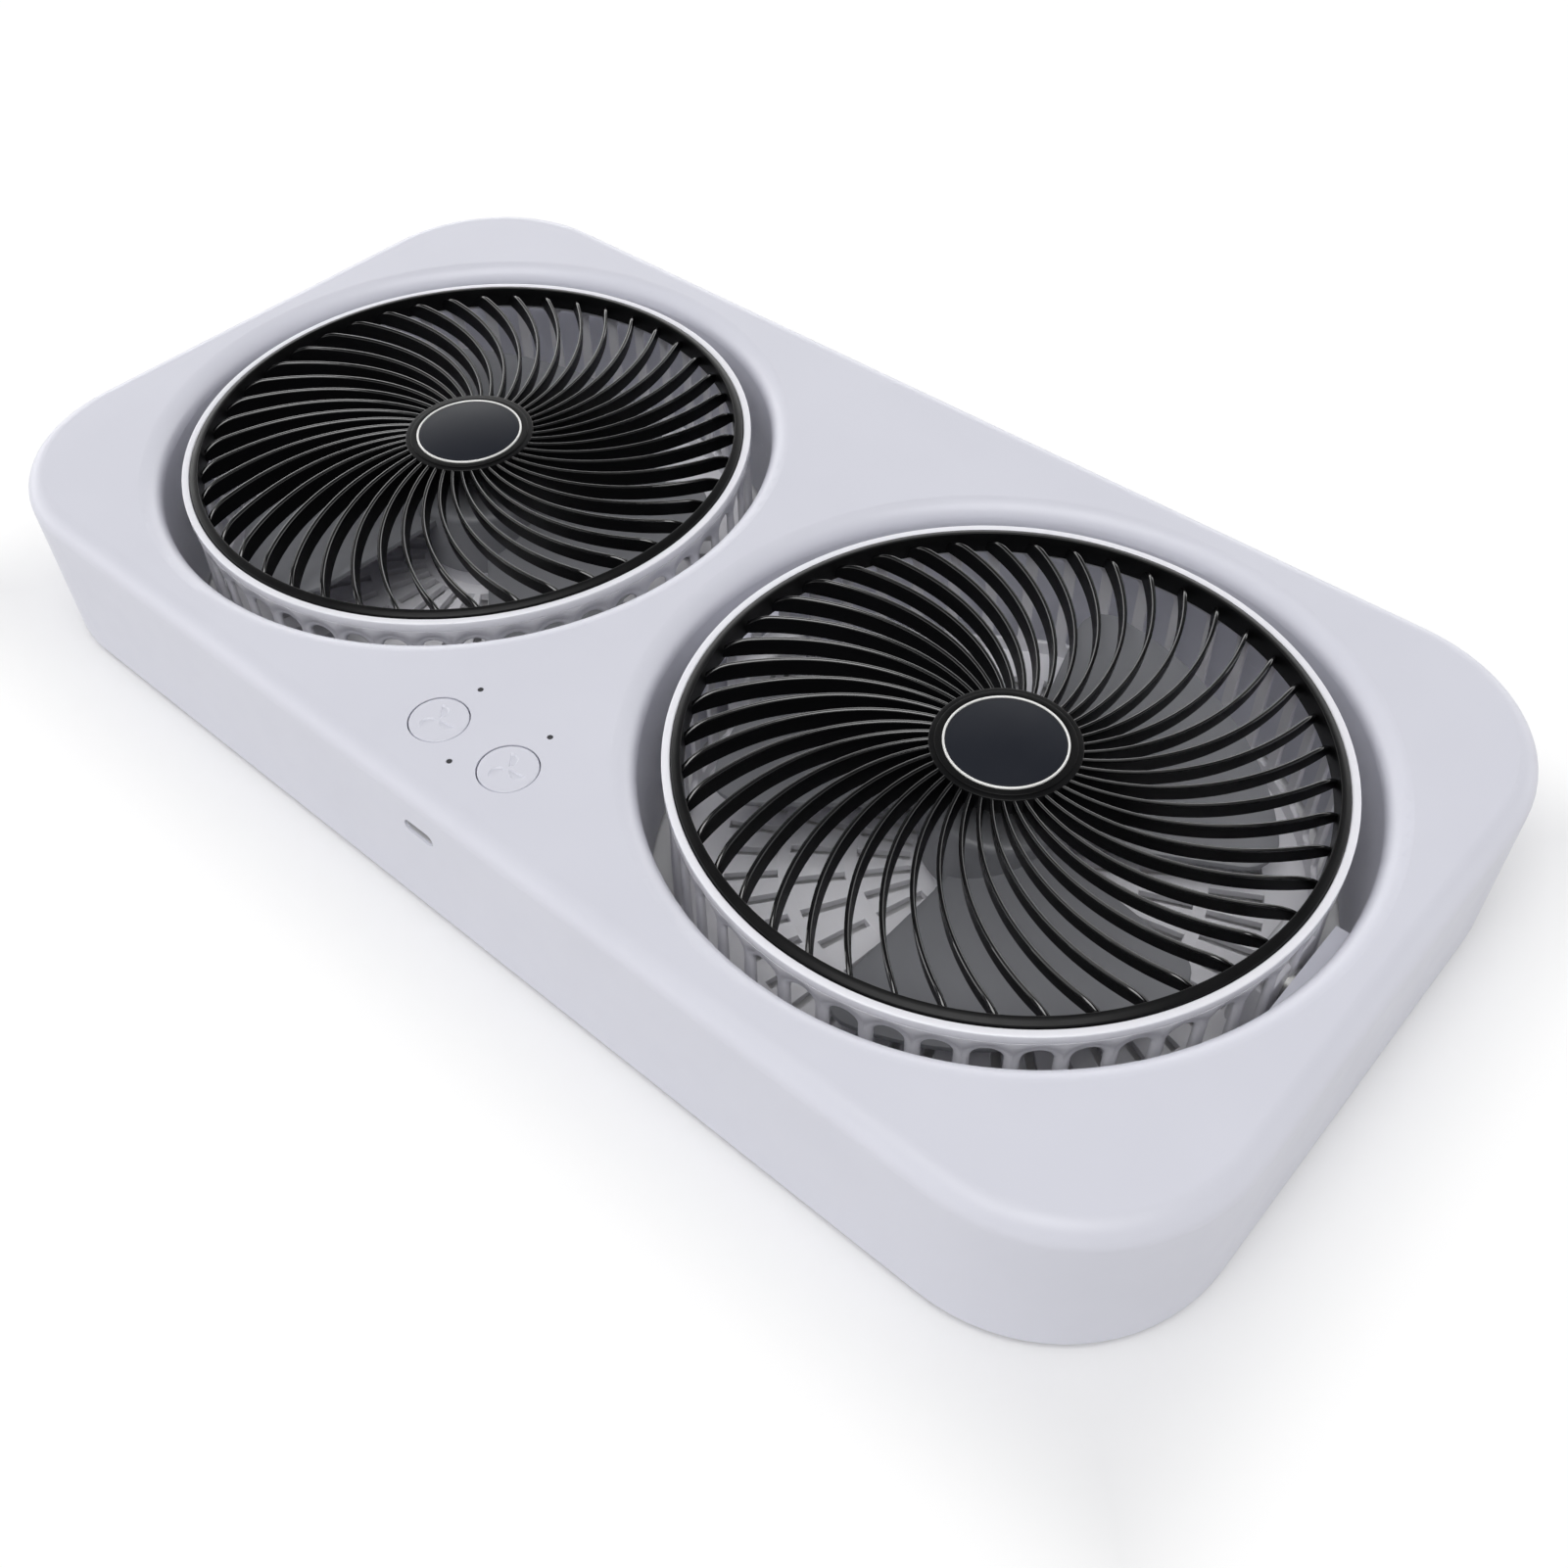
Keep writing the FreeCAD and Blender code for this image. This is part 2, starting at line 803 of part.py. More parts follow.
# One swirl rib: a thin bar between two arcs, thicker from the hub to the outer ring
def rib():
    inner = hub_radius - rib_overlap
    outer = grille_inner_radius + rib_overlap
    turn = math.radians(rib_sweep)
    sides = []
    for way in (-1, 1):
        points = []
        for share in (0.0, 0.5, 1.0):
            radius = inner + (outer - inner) * share
            shift = way * (rib_hub_thickness + (rib_rim_thickness - rib_hub_thickness) * share) / 2
            heading = math.atan(turn * radius / (outer - inner))
            centre = polar(radius, turn * share, rib_bottom_z)
            across = turn * share + heading + math.pi / 2
            points.append(centre + polar(shift, across))
        sides.append(points)
    left, right = sides
    outline = Part.Wire([
        Part.Arc(left[0], left[1], left[2]).toShape(),
        Part.makeLine(left[2], right[2]),
        Part.Arc(right[2], right[1], right[0]).toShape(),
        Part.makeLine(right[0], left[0]),
    ])
    return Part.Face(outline).extrude(Vector(0, 0, rib_depth))


# Material above the outer ends of the ribs, which bend down to the outer ring
def rib_end_round():
    inner = grille_inner_radius - rib_end_length
    outer = grille_inner_radius + rib_overlap + rib_rim_thickness
    end_z = rib_top_z - rib_end_drop
    bend = (rib_end_length ** 2 + rib_end_drop ** 2) / (2 * rib_end_drop)
    halfway_z = rib_top_z - bend + math.sqrt(bend ** 2 - rib_end_length ** 2 / 4)
    return turned(
        (inner, rib_top_z),
        ((inner + rib_end_length / 2, halfway_z), (grille_inner_radius, end_z)),
        (outer, end_z),
        (outer, rib_top_z + cut_margin),
        (inner, rib_top_z + cut_margin),
    )


# Black swirl grille: crowned outer ring, ribs and hub with a seat for its trim
def grille():
    crown_radius = (grille_radius + grille_inner_radius) / 2
    crown_z = rim_z + grille_crown_rise
    edge_z = crown_z - grille_crown_height
    ring = turned(
        (grille_radius, grille_bottom_z),
        (grille_radius, edge_z),
        ((crown_radius, crown_z), (grille_inner_radius, edge_z)),
        (grille_inner_radius, grille_bottom_z),
    )
    hub = turned(
        (0.0, rib_bottom_z),
        (hub_radius, rib_bottom_z),
        (hub_radius, hub_top_z - hub_edge_radius),
        quarter(
            (hub_radius, hub_top_z - hub_edge_radius),
            (hub_radius - hub_edge_radius, hub_top_z),
            (hub_radius, hub_top_z),
        ),
        (trim_diameter / 2 + fit_clearance, hub_top_z),
        (trim_diameter / 2 + fit_clearance, trim_seat_z),
        (0.0, trim_seat_z),
    )
    end_round = rib_end_round()
    first = rib().cut(end_round)
    ribs = [around_z(first, 360.0 * i / rib_count) for i in range(rib_count)]
    return ring.multiFuse([hub] + ribs)


def hub_trim_ring():
    outer = trim_diameter / 2
    ring = disc(outer, trim_seat_z, hub_top_z + trim_rise)
    return ring.cut(disc(outer - trim_width, trim_seat_z, hub_top_z + trim_rise))


def hub_plate():
    radius = trim_diameter / 2 - trim_width - hub_plate_clearance
    return disc(radius, trim_seat_z, hub_top_z + hub_plate_rise)


# One impeller blade: a helical sheet, steeper at its tip, trimmed to a rounded outline in plan
def blade():
    span = math.radians(blade_span)
    trim = math.radians(blade_trim)
    root = impeller_hub_radius - impeller_hub_wall / 2
    tip = blade_tip_radius + blade_corner_radius
    twist = (blade_tip_rise - blade_root_rise) / (blade_tip_radius - root)
    end_rise = blade_tip_rise + twist * blade_corner_radius
    half = blade_thickness / 2
    wires = []
    for i in range(blade_sections):
        share = i / (blade_sections - 1)
        angle = -span / 2 - trim + (span + 2 * trim) * share
        root_z = blade_low_z + blade_root_rise * share
        tip_z = blade_low_z + end_rise * share
        corners = [
            polar(root, angle, root_z - half),
            polar(tip, angle, tip_z - half),
            polar(tip, angle, tip_z + half),
            polar(root, angle, root_z + half),
        ]
        wires.append(Part.makePolygon(corners + corners[:1]))
    sheet = Part.makeLoft(wires, True, False)
    low = blade_low_z - blade_thickness
    high = blade_low_z + end_rise + blade_thickness
    outline = Part.Wire([
        Part.makeLine(polar(root, -span / 2, low), polar(blade_tip_radius, -span / 2, low)),
        Part.Arc(
            polar(blade_tip_radius, -span / 2, low),
            polar(blade_tip_radius, 0, low),
            polar(blade_tip_radius, span / 2, low),
        ).toShape(),
        Part.makeLine(polar(blade_tip_radius, span / 2, low), polar(root, span / 2, low)),
        Part.Arc(polar(root, span / 2, low), polar(root, 0, low), polar(root, -span / 2, low)).toShape(),
    ])
    prism = Part.Face(outline).extrude(Vector(0, 0, high - low))
    outer_corners = []
    for edge in prism.Edges:
        box = edge.BoundBox
        if box.ZLength > (high - low) / 2 and math.hypot(box.XMin, box.YMin) > blade_tip_radius / 2:
            outer_corners.append(edge)
    prism = prism.makeFillet(blade_corner_radius, outer_corners)
    return sheet.common(prism)


def impeller(rest_angle):
    inner = impeller_hub_radius - impeller_hub_wall
    hub = turned(
        (0.0, impeller_top_z),
        (impeller_hub_radius - impeller_crown_radius, impeller_top_z),
        quarter(
            (impeller_hub_radius - impeller_crown_radius, impeller_top_z),
            (impeller_hub_radius, impeller_top_z - impeller_crown_radius),
            (impeller_hub_radius, impeller_top_z),
        ),
        (impeller_hub_radius, impeller_skirt_z),
        (inner, impeller_skirt_z),
        (inner, impeller_inside_z),
        (0.0, impeller_inside_z),
    )
    boss = disc(impeller_boss_diameter / 2, impeller_boss_z, impeller_inside_z)
    one = blade()
    blades = [around_z(one, 360.0 * i / blade_count) for i in range(blade_count)]
    wheel = hub.multiFuse([boss] + blades)
    bore = shaft_diameter / 2 + shaft_hub_clearance
    wheel = wheel.cut(disc(bore, impeller_boss_z, shaft_top_z + shaft_end_gap))
    return around_z(wheel, rest_angle)


def motor():
    can = disc(motor_diameter / 2, motor_base_z, motor_top_z)
    can = can.makeFillet(motor_edge_radius, edges_at_height(can, motor_top_z))
    nose = disc(motor_nose_diameter / 2, motor_top_z - motor_edge_radius, motor_nose_z)
    body = can.fuse(nose).removeSplitter()
    bore = shaft_diameter / 2 + shaft_running_clearance
    body = body.cut(disc(bore, shaft_bottom_z - shaft_end_gap, motor_nose_z))
    screw_bore = motor_screw_diameter / 2 + fit_clearance
    for x, y in motor_screw_places():
        body = body.cut(disc(screw_bore, motor_base_z, motor_screw_tip_z(), x, y))
    return body


def motor_screw_tip_z():
    return head_bottom_z + motor_screw_head_height + motor_screw_length


def motor_shaft():
    return disc(shaft_diameter / 2, shaft_bottom_z, shaft_top_z)


def motor_screws():
    seat = head_bottom_z + motor_screw_head_height
    screws = []
    for x, y in motor_screw_places():
        screws.append(
            screw_up(
                x, y, seat, motor_screw_diameter, motor_screw_length,
                motor_screw_head_diameter, motor_screw_head_height
            )
        )
    return Part.makeCompound(screws)


# The whole assembly, one entry for each piece
solids["top_shell"] = top_shell()
solids["bottom_cover"] = bottom_cover()
solids["rubber_feet"] = rubber_feet()
solids["case_screws"] = case_screws()
solids["control_board"] = control_board()
solids["board_screws"] = board_screws()
solids["charging_socket"] = charging_socket()
solids["lamp_pipes"] = lamp_pipes()
solids["lamp_chips"] = lamp_chips()
solids["battery_tray"] = battery_tray()
solids["battery_pack"] = battery_pack()
solids["battery_guard_board"] = battery_guard_board()

for side, place in button_places():
    solids["button_" + side] = button(place)
    solids["switch_body_" + side] = switch_body(place)
    solids["switch_plunger_" + side] = switch_plunger(place)

rest_angles = {"left": impeller_rest_left, "right": impeller_rest_right}
head_pieces = {
    "rear_cage": rear_cage(),
    "front_ring": front_ring(),
    "grille": grille(),
    "hub_trim_ring": hub_trim_ring(),
    "hub_plate": hub_plate(),
    "motor": motor(),
    "motor_shaft": motor_shaft(),
    "motor_screws": motor_screws(),
}
for side, place in head_places():
    for name, shape in head_pieces.items():
        solids[name + "_" + side] = moved(shape, place)
    solids["impeller_" + side] = moved(impeller(rest_angles[side]), place)
    solids["pivot_bushes_" + side] = pivot_bushes(place)
    solids["pivot_pins_" + side] = pivot_pins(place)

os.makedirs("parts", exist_ok=True)
for name, shape in solids.items():
    shape.exportStep("parts/" + name + ".step")
    print(name, len(shape.Solids), "solids", round(shape.Volume, 1), "mm3", shape.isValid())
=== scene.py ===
import json
import math

import bmesh
import bpy
from mathutils import Matrix, Vector


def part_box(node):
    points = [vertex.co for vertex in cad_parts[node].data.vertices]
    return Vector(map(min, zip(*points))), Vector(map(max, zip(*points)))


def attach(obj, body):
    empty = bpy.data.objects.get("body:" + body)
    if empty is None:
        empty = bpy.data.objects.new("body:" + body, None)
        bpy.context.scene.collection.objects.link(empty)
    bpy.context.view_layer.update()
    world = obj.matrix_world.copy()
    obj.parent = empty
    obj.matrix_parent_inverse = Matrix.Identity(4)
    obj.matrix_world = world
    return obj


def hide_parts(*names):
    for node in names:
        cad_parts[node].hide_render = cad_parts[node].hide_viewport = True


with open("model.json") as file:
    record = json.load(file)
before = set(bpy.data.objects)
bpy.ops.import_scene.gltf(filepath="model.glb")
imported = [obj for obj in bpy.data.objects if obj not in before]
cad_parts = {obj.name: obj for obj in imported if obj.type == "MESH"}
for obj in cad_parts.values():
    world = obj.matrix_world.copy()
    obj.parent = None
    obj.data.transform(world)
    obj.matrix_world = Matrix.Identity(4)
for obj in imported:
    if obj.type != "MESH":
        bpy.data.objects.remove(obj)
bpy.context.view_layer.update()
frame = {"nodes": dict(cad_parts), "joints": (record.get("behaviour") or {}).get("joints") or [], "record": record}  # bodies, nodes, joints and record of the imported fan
nodes = frame["nodes"]
mm = 0.001
hair = 0.001 * mm  # points nearer than this are one point
sharpTurn = 1.0  # radians between the faces at an edge that gets rounded
flatOn = 0.99  # a face with this much of its normal on an axis looks along it

# places read from the frame, in metres
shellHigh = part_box("top_shell")[1]
ringLow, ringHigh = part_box("front_ring_right")
cageLow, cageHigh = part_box("rear_cage_right")
headX = (ringLow.x + ringHigh.x) / 2
headRadius = (ringHigh.x - ringLow.x) / 2
rimZ = ringHigh.z
pivotZ = next(j["pos_m"][2] for j in frame["joints"] if j["name"] == "head_right_tilt")
headPlaces = {"left": Vector((-headX, 0, 0)), "right": Vector((headX, 0, 0))}
print("frame loaded:", len(nodes), "nodes")


# small mesh tools

def everything(bm):
    return bm.verts[:] + bm.edges[:] + bm.faces[:]


def vertsOf(geom):
    return [item for item in geom if isinstance(item, bmesh.types.BMVert)]


def openEdgesOf(geom):
    return [item for item in geom if isinstance(item, bmesh.types.BMEdge) and item.is_boundary]


def addTo(bm, part):
    mesh = bpy.data.meshes.new("part")
    part.to_mesh(mesh)
    part.free()
    bm.from_mesh(mesh)
    bpy.data.meshes.remove(mesh)


def roundEdges(bm, edges, radius, segments):
    bmesh.ops.bevel(bm, geom=edges, offset=radius, offset_type="OFFSET", segments=segments,
                    profile=0.5, affect="EDGES", clamp_overlap=False, material=-1)


def roundCorner(bm, vert, radius, segments):
    bmesh.ops.bevel(bm, geom=[vert], offset=radius, offset_type="ABSOLUTE", segments=segments,
                    profile=0.5, affect="VERTICES", clamp_overlap=False, material=-1)


def edgesAt(bm, axis, value):
    return [e for e in bm.edges if all(abs(v.co[axis] - value) < hair for v in e.verts)]


def cut(bm, spot, way, slack=0.0):
    bmesh.ops.bisect_plane(bm, geom=everything(bm), dist=slack, plane_co=spot, plane_no=way)


def barFrom(low, high, rounding=0.0, segments=2):
    bm = bmesh.new()
    made = bmesh.ops.create_cube(bm, size=1.0)
    low, high = Vector(low), Vector(high)
    bmesh.ops.scale(bm, vec=high - low, verts=made["verts"])
    bmesh.ops.translate(bm, vec=(low + high) / 2, verts=made["verts"])
    if rounding:
        roundEdges(bm, bm.edges[:], rounding, segments)
    return bm


def section(corners, segments):
    # a closed section in the XZ plane; each corner is (radius, height) or (radius, height, rounding)
    bm = bmesh.new()
    verts = [bm.verts.new((corner[0], 0, corner[1])) for corner in corners]
    bm.faces.new(verts)
    for vert, corner in zip(verts, corners):
        if len(corner) > 2:
            roundCorner(bm, vert, corner[2], segments)
    bmesh.ops.delete(bm, geom=bm.faces[:], context="FACES_ONLY")
    return bm


def closeUp(bm):
    bmesh.ops.remove_doubles(bm, verts=bm.verts[:], dist=hair)
    loose = [e for e in bm.edges if not e.link_faces]
    bmesh.ops.delete(bm, geom=loose, context="EDGES")
    bmesh.ops.recalc_face_normals(bm, faces=bm.faces[:])


def lathe(corners, steps=160, segments=5):
    bm = section(corners, segments)
    bmesh.ops.spin(bm, geom=bm.verts[:] + bm.edges[:], cent=(0, 0, 0), axis=(0, 0, 1),
                   angle=2 * math.pi, steps=steps, use_merge=True)
    closeUp(bm)
    return bm


def repeatRound(bm, count):
    bmesh.ops.spin(bm, geom=everything(bm), cent=(0, 0, 0), axis=(0, 0, 1),
                   angle=2 * math.pi * (count - 1) / count, steps=count - 1, use_duplicate=True)


def toPiece(bm, name, finish, body, place, sharpDegrees=32):
    bmesh.ops.translate(bm, vec=place, verts=bm.verts[:])
    mesh = bpy.data.meshes.new(name)
    bm.to_mesh(mesh)
    bm.free()
    mesh.materials.append(finish)
    mesh.shade_smooth()
    mesh.set_sharp_from_angle(angle=math.radians(sharpDegrees))
    piece = bpy.data.objects.new(name, mesh)
    bpy.context.scene.collection.objects.link(piece)
    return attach(piece, body)


def evenNormals(piece):
    # broad flat faces keep flat shading beside their round edges
    weighted = piece.modifiers.new("even normals", "WEIGHTED_NORMAL")
    weighted.keep_sharp = True


# small shader tools; each returns the output that carries its value

def noiseValue(tree, scale, detail=2.0):
    coords = tree.nodes.new("ShaderNodeTexCoord")
    noise = tree.nodes.new("ShaderNodeTexNoise")
    noise.inputs["Scale"].default_value = scale
    noise.inputs["Detail"].default_value = detail
    tree.links.new(coords.outputs["Object"], noise.inputs["Vector"])
    return noise.outputs["Fac"]


def mathValue(tree, operation, *sources):
    node = tree.nodes.new("ShaderNodeMath")
    node.operation = operation
    for source, socket in zip(sources, node.inputs):
        tree.links.new(source, socket)
    return node.outputs[0]


def rangeValue(tree, source, fromRange, toRange=(0.0, 1.0), smooth=False):
    node = tree.nodes.new("ShaderNodeMapRange")
    node.interpolation_type = "SMOOTHSTEP" if smooth else "LINEAR"
    for socket, value in zip(("From Min", "From Max", "To Min", "To Max"), (*fromRange, *toRange)):
        node.inputs[socket].default_value = value
    tree.links.new(source, node.inputs["Value"])
    return node.outputs["Result"]


# finishes; what a finish doesn't name it takes from plainFinish

plainFinish = {"metal": 0.0, "specular": 0.5, "toneScale": 22.0, "toneRange": (0.35, 0.65),
               "glossScale": 140.0, "glossDetail": 3.0, "glossRange": (0.3, 0.7),
               "grainScale": 2600.0, "grainDepth": 0.05 * mm}
finishSets = {
    "shellWhite": {"colour": (0.695, 0.70, 0.772), "shade": (0.68, 0.685, 0.757),
                   "roughness": (0.36, 0.44), "grain": 0.10},
    "rimWhite": {"colour": (0.9, 0.9, 0.95), "shade": (0.88, 0.88, 0.93),
                 "roughness": (0.2, 0.27), "grain": 0.03},
    # the cage's white is lighter than the shell's so that its shaded walls in the gaps round the heads
    # and inside the cage look brighter: painted fill light
    "cageWhitePaintedFill": {"colour": (0.79, 0.785, 0.82), "shade": (0.765, 0.76, 0.795),
                  "roughness": (0.34, 0.42), "grain": 0.08},
    "buttonWhite": {"colour": (0.70, 0.705, 0.777), "shade": (0.69, 0.695, 0.765),
                    "roughness": (0.3, 0.36), "grain": 0.05},
    "grilleBlack": {"colour": (0.0026, 0.0026, 0.003), "shade": (0.002, 0.002, 0.0023),
                    "roughness": (0.15, 0.2), "specular": 1.0, "grain": 0.04, "toneScale": 60.0},
    "ribSideBlack": {"colour": (0.0034, 0.0034, 0.004), "shade": (0.0026, 0.0026, 0.003),
                     "roughness": (0.38, 0.46), "specular": 0.1, "grain": 0.06, "toneScale": 60.0},
    "ringBlack": {"colour": (0.0032, 0.0032, 0.0036), "shade": (0.0026, 0.0026, 0.003),
                  "roughness": (0.34, 0.42), "specular": 0.22, "grain": 0.06, "toneScale": 60.0},
    "hubDark": {"colour": (0.0145, 0.0165, 0.0235), "shade": (0.013, 0.015, 0.0215),
                "roughness": (0.36, 0.42), "specular": 0.2, "grain": 0.04},
    "trimSilver": {"colour": (0.93, 0.93, 0.91), "shade": (0.89, 0.89, 0.87),
                   "roughness": (0.28, 0.36), "metal": 0.15, "grain": 0.03},
    "bladeGrey": {"colour": (0.25, 0.254, 0.272), "shade": (0.235, 0.239, 0.257),
                  "roughness": (0.32, 0.4), "grain": 0.06},
    "motorSteel": {"colour": (0.42, 0.42, 0.43), "shade": (0.34, 0.34, 0.35),
                   "roughness": (0.3, 0.42), "metal": 1.0, "grain": 0.1, "grainScale": 1200.0},
    "screwSteel": {"colour": (0.5, 0.5, 0.49), "shade": (0.4, 0.4, 0.4),
                   "roughness": (0.28, 0.4), "metal": 1.0, "grain": 0.1, "grainScale": 1800.0},
    "socketSteel": {"colour": (0.62, 0.62, 0.64), "shade": (0.57, 0.57, 0.59),
                    "roughness": (0.34, 0.44), "metal": 0.25, "grain": 0.05},
    "footRubber": {"colour": (0.022, 0.022, 0.023), "shade": (0.016, 0.016, 0.017),
                   "roughness": (0.75, 0.9), "grain": 0.35, "grainScale": 900.0},
    "innerPlastic": {"colour": (0.04, 0.04, 0.042), "shade": (0.032, 0.032, 0.034),
                     "roughness": (0.45, 0.55), "grain": 0.1},
    "bushPlastic": {"colour": (0.6, 0.6, 0.56), "shade": (0.55, 0.55, 0.51),
                    "roughness": (0.35, 0.45), "grain": 0.06},
    "boardGreen": {"colour": (0.012, 0.075, 0.03), "shade": (0.009, 0.055, 0.022),
                   "roughness": (0.28, 0.4), "grain": 0.05, "toneScale": 90.0},
    "lampClear": {"colour": (0.075, 0.075, 0.08), "shade": (0.06, 0.06, 0.065),
                  "roughness": (0.12, 0.2), "grain": 0.02},
    "packWrap": {"colour": (0.02, 0.07, 0.2), "shade": (0.016, 0.055, 0.16),
                 "roughness": (0.25, 0.4), "grain": 0.15, "grainScale": 700.0},
}


def mouldedFinish(name, own):
    # plastic or metal with a drift of tone, patchy gloss and a fine grain
    s = {**plainFinish, **own}
    material = bpy.data.materials.new(name)
    material.use_nodes = True
    tree = material.node_tree
    shader = tree.nodes["Principled BSDF"]
    shader.inputs["Metallic"].default_value = s["metal"]
    shader.inputs["Specular IOR Level"].default_value = s["specular"]
    ramp = tree.nodes.new("ShaderNodeValToRGB")
    for stop, spot, colour in zip(ramp.color_ramp.elements, s["toneRange"], (s["shade"], s["colour"])):
        stop.position = spot
        stop.color = (*colour, 1)
    tree.links.new(noiseValue(tree, s["toneScale"]), ramp.inputs["Fac"])
    tree.links.new(ramp.outputs["Color"], shader.inputs["Base Color"])
    gloss = noiseValue(tree, s["glossScale"], s["glossDetail"])
    tree.links.new(rangeValue(tree, gloss, s["glossRange"], s["roughness"]), shader.inputs["Roughness"])
    bump = tree.nodes.new("ShaderNodeBump")
    bump.inputs["Strength"].default_value = s["grain"]
    bump.inputs["Distance"].default_value = s["grainDepth"]
    tree.links.new(noiseValue(tree, s["grainScale"]), bump.inputs["Height"])
    tree.links.new(bump.outputs["Normal"], shader.inputs["Normal"])
    return material


finishes = {name: mouldedFinish(name, own) for name, own in finishSets.items()}
slotFinishes = {
    "shell_white": "shellWhite", "cage_white": "cageWhitePaintedFill", "rim_white": "rimWhite",
    "button_white": "buttonWhite", "grille_black": "grilleBlack", "hub_dark": "hubDark",
    "trim_silver": "trimSilver", "blade_grey": "bladeGrey", "motor_steel": "motorSteel",
    "pin_steel": "screwSteel", "screw_steel": "screwSteel", "socket_steel": "socketSteel",
    "foot_rubber": "footRubber", "bush_plastic": "bushPlastic", "inner_plastic": "innerPlastic",
    "switch_black": "innerPlastic", "board_green": "boardGreen", "lamp_clear": "lampClear",
    "lamp_chip": "bushPlastic", "pack_wrap": "packWrap",
}
for row in frame["record"]["subparts"]:
    mesh = nodes[row["node"]].data
    mesh.materials.clear()
    mesh.materials.append(finishes[slotFinishes[row["material_slot"]]])
print("finishes made:", len(finishes))


# swirl grille: black ring, ribs and hub, with a dark plate and a silver trim on the hub

grilleSet = {"ribCount": 45, "sweepDegrees": 34.0, "rimThickness": 1.1 * mm, "hubThickness": 0.95 * mm,
             "ribDepth": 4.4 * mm, "ribRise": 0.6 * mm, "ribLean": 0.5 * mm, "ribEdge": 0.5 * mm,
             "endLength": 6.2 * mm, "endDrop": 4.3 * mm, "stations": 30, "crowding": 0.7,
             "dullBelow": 0.2, "overlap": 0.8 * mm, "ringRadius": 72.9 * mm, "ringRise": 0.9 * mm,
             "ringDepth": 4.6 * mm, "ringTop": 2.2 * mm, "ringFoot": 2.6 * mm, "ringSlope": 1.4 * mm,
             "ringRound": 0.5 * mm, "ringEdge": 0.25 * mm, "footEdge": 0.2 * mm}
hubSet = {"radius": 16.9 * mm, "rise": 0.9 * mm, "bandRadius": 15.6 * mm, "bandDrop": 0.25 * mm,
          "seatRadius": 13.95 * mm, "seatDepth": 1.2 * mm, "edge": 0.2 * mm, "footEdge": 0.3 * mm,
          "lipEdge": 0.12 * mm, "trimWidth": 0.52 * mm, "trimRise": 0.3 * mm, "plateRise": 0.2 * mm,
          "plateDepth": 1.2 * mm, "plateEdge": 0.25 * mm, "gap": 0.05 * mm}


def ribBar(s, inner, outer, top):
    # a straight bar; its flat top and top edges are polished, its sides and its end stay dull
    half = s["rimThickness"] / 2
    bm = barFrom((inner, -half, top - s["ribDepth"]), (outer, half, top))
    rims = [e for e in edgesAt(bm, 2, top) if abs(e.verts[0].co.x - e.verts[1].co.x) > half]
    roundEdges(bm, rims, s["ribEdge"], 3)
    for i in range(1, s["stations"]):
        share = i / s["stations"]
        share *= 1 + s["crowding"] * (1 - share)  # closer together towards the round end
        cut(bm, (inner + (outer - inner) * share, 0, 0), (1, 0, 0))
    for face in bm.faces:
        flatEnd = face.normal.z > flatOn and face.calc_center_median().x > outer - s["endLength"]
        face.material_index = 1 if face.normal.z < s["dullBelow"] or flatEnd else 0
    return bm


def bendRib(bm, s, inner, outer, top):
    # lays the bar along the swirl, thins it towards the hub, leans it and rounds its outer end down
    turn = math.radians(s["sweepDegrees"])
    low = top - s["ribDepth"]
    bend = (s["endLength"] ** 2 + s["endDrop"] ** 2) / (2 * s["endDrop"])
    for vert in bm.verts:
        radius = vert.co.x
        share = (radius - inner) / (outer - inner)
        height = (vert.co.z - low) / s["ribDepth"]
        past = min(max(radius - outer + s["endLength"], 0), s["endLength"])
        vert.co.z -= height * (bend - math.sqrt(bend ** 2 - past ** 2))
        angle = turn * share
        across = angle + math.atan(turn * radius / (outer - inner)) + math.pi / 2
        thin = 1 - (1 - s["hubThickness"] / s["rimThickness"]) * (1 - share)
        reach = vert.co.y * thin + s["ribLean"] * (0.5 - height)
        vert.co.x = radius * math.cos(angle) + reach * math.cos(across)
        vert.co.y = radius * math.sin(angle) + reach * math.sin(across)


def grilleRing(s):
    # a narrow band that falls from its inner side to the rim and is wider at its foot
    low, top, outer = rimZ - s["ringDepth"], rimZ + s["ringRise"], s["ringRadius"]
    return lathe([(outer - s["ringFoot"], low, s["footEdge"]), (outer, low, s["footEdge"]),
                  (outer, rimZ + s["ringEdge"], s["ringEdge"]),
                  (outer - s["ringSlope"], top, s["ringRound"]),
                  (outer - s["ringTop"], top, s["ringEdge"])], steps=240, segments=6)


def hubRim(s, low):
    top = rimZ + s["rise"]
    band, seat = top - s["bandDrop"], top - s["seatDepth"]
    return lathe([(0, low), (s["radius"], low, s["footEdge"]), (s["radius"], band, s["edge"]),
                  (s["bandRadius"], band), (s["bandRadius"], top, s["lipEdge"]),
                  (s["seatRadius"], top, s["lipEdge"]), (s["seatRadius"], seat), (0, seat)],
                 steps=120, segments=3)


def hubTrim(s):
    top = rimZ + s["rise"] + s["trimRise"]
    low = rimZ + s["rise"] - s["seatDepth"]
    outer = s["seatRadius"] - s["gap"]
    inner = outer - s["trimWidth"]
    return lathe([(inner, low), (outer, low), (outer, top, s["edge"]), (inner, top, s["edge"])],
                 steps=120, segments=3)


def hubPlate(s):
    top = rimZ + s["rise"] + s["plateRise"]
    low = top - s["plateDepth"]
    radius = s["seatRadius"] - s["trimWidth"] - 2 * s["gap"]
    return lathe([(0, low), (radius, low), (radius, top, s["plateEdge"]), (0, top)],
                 steps=120, segments=3)


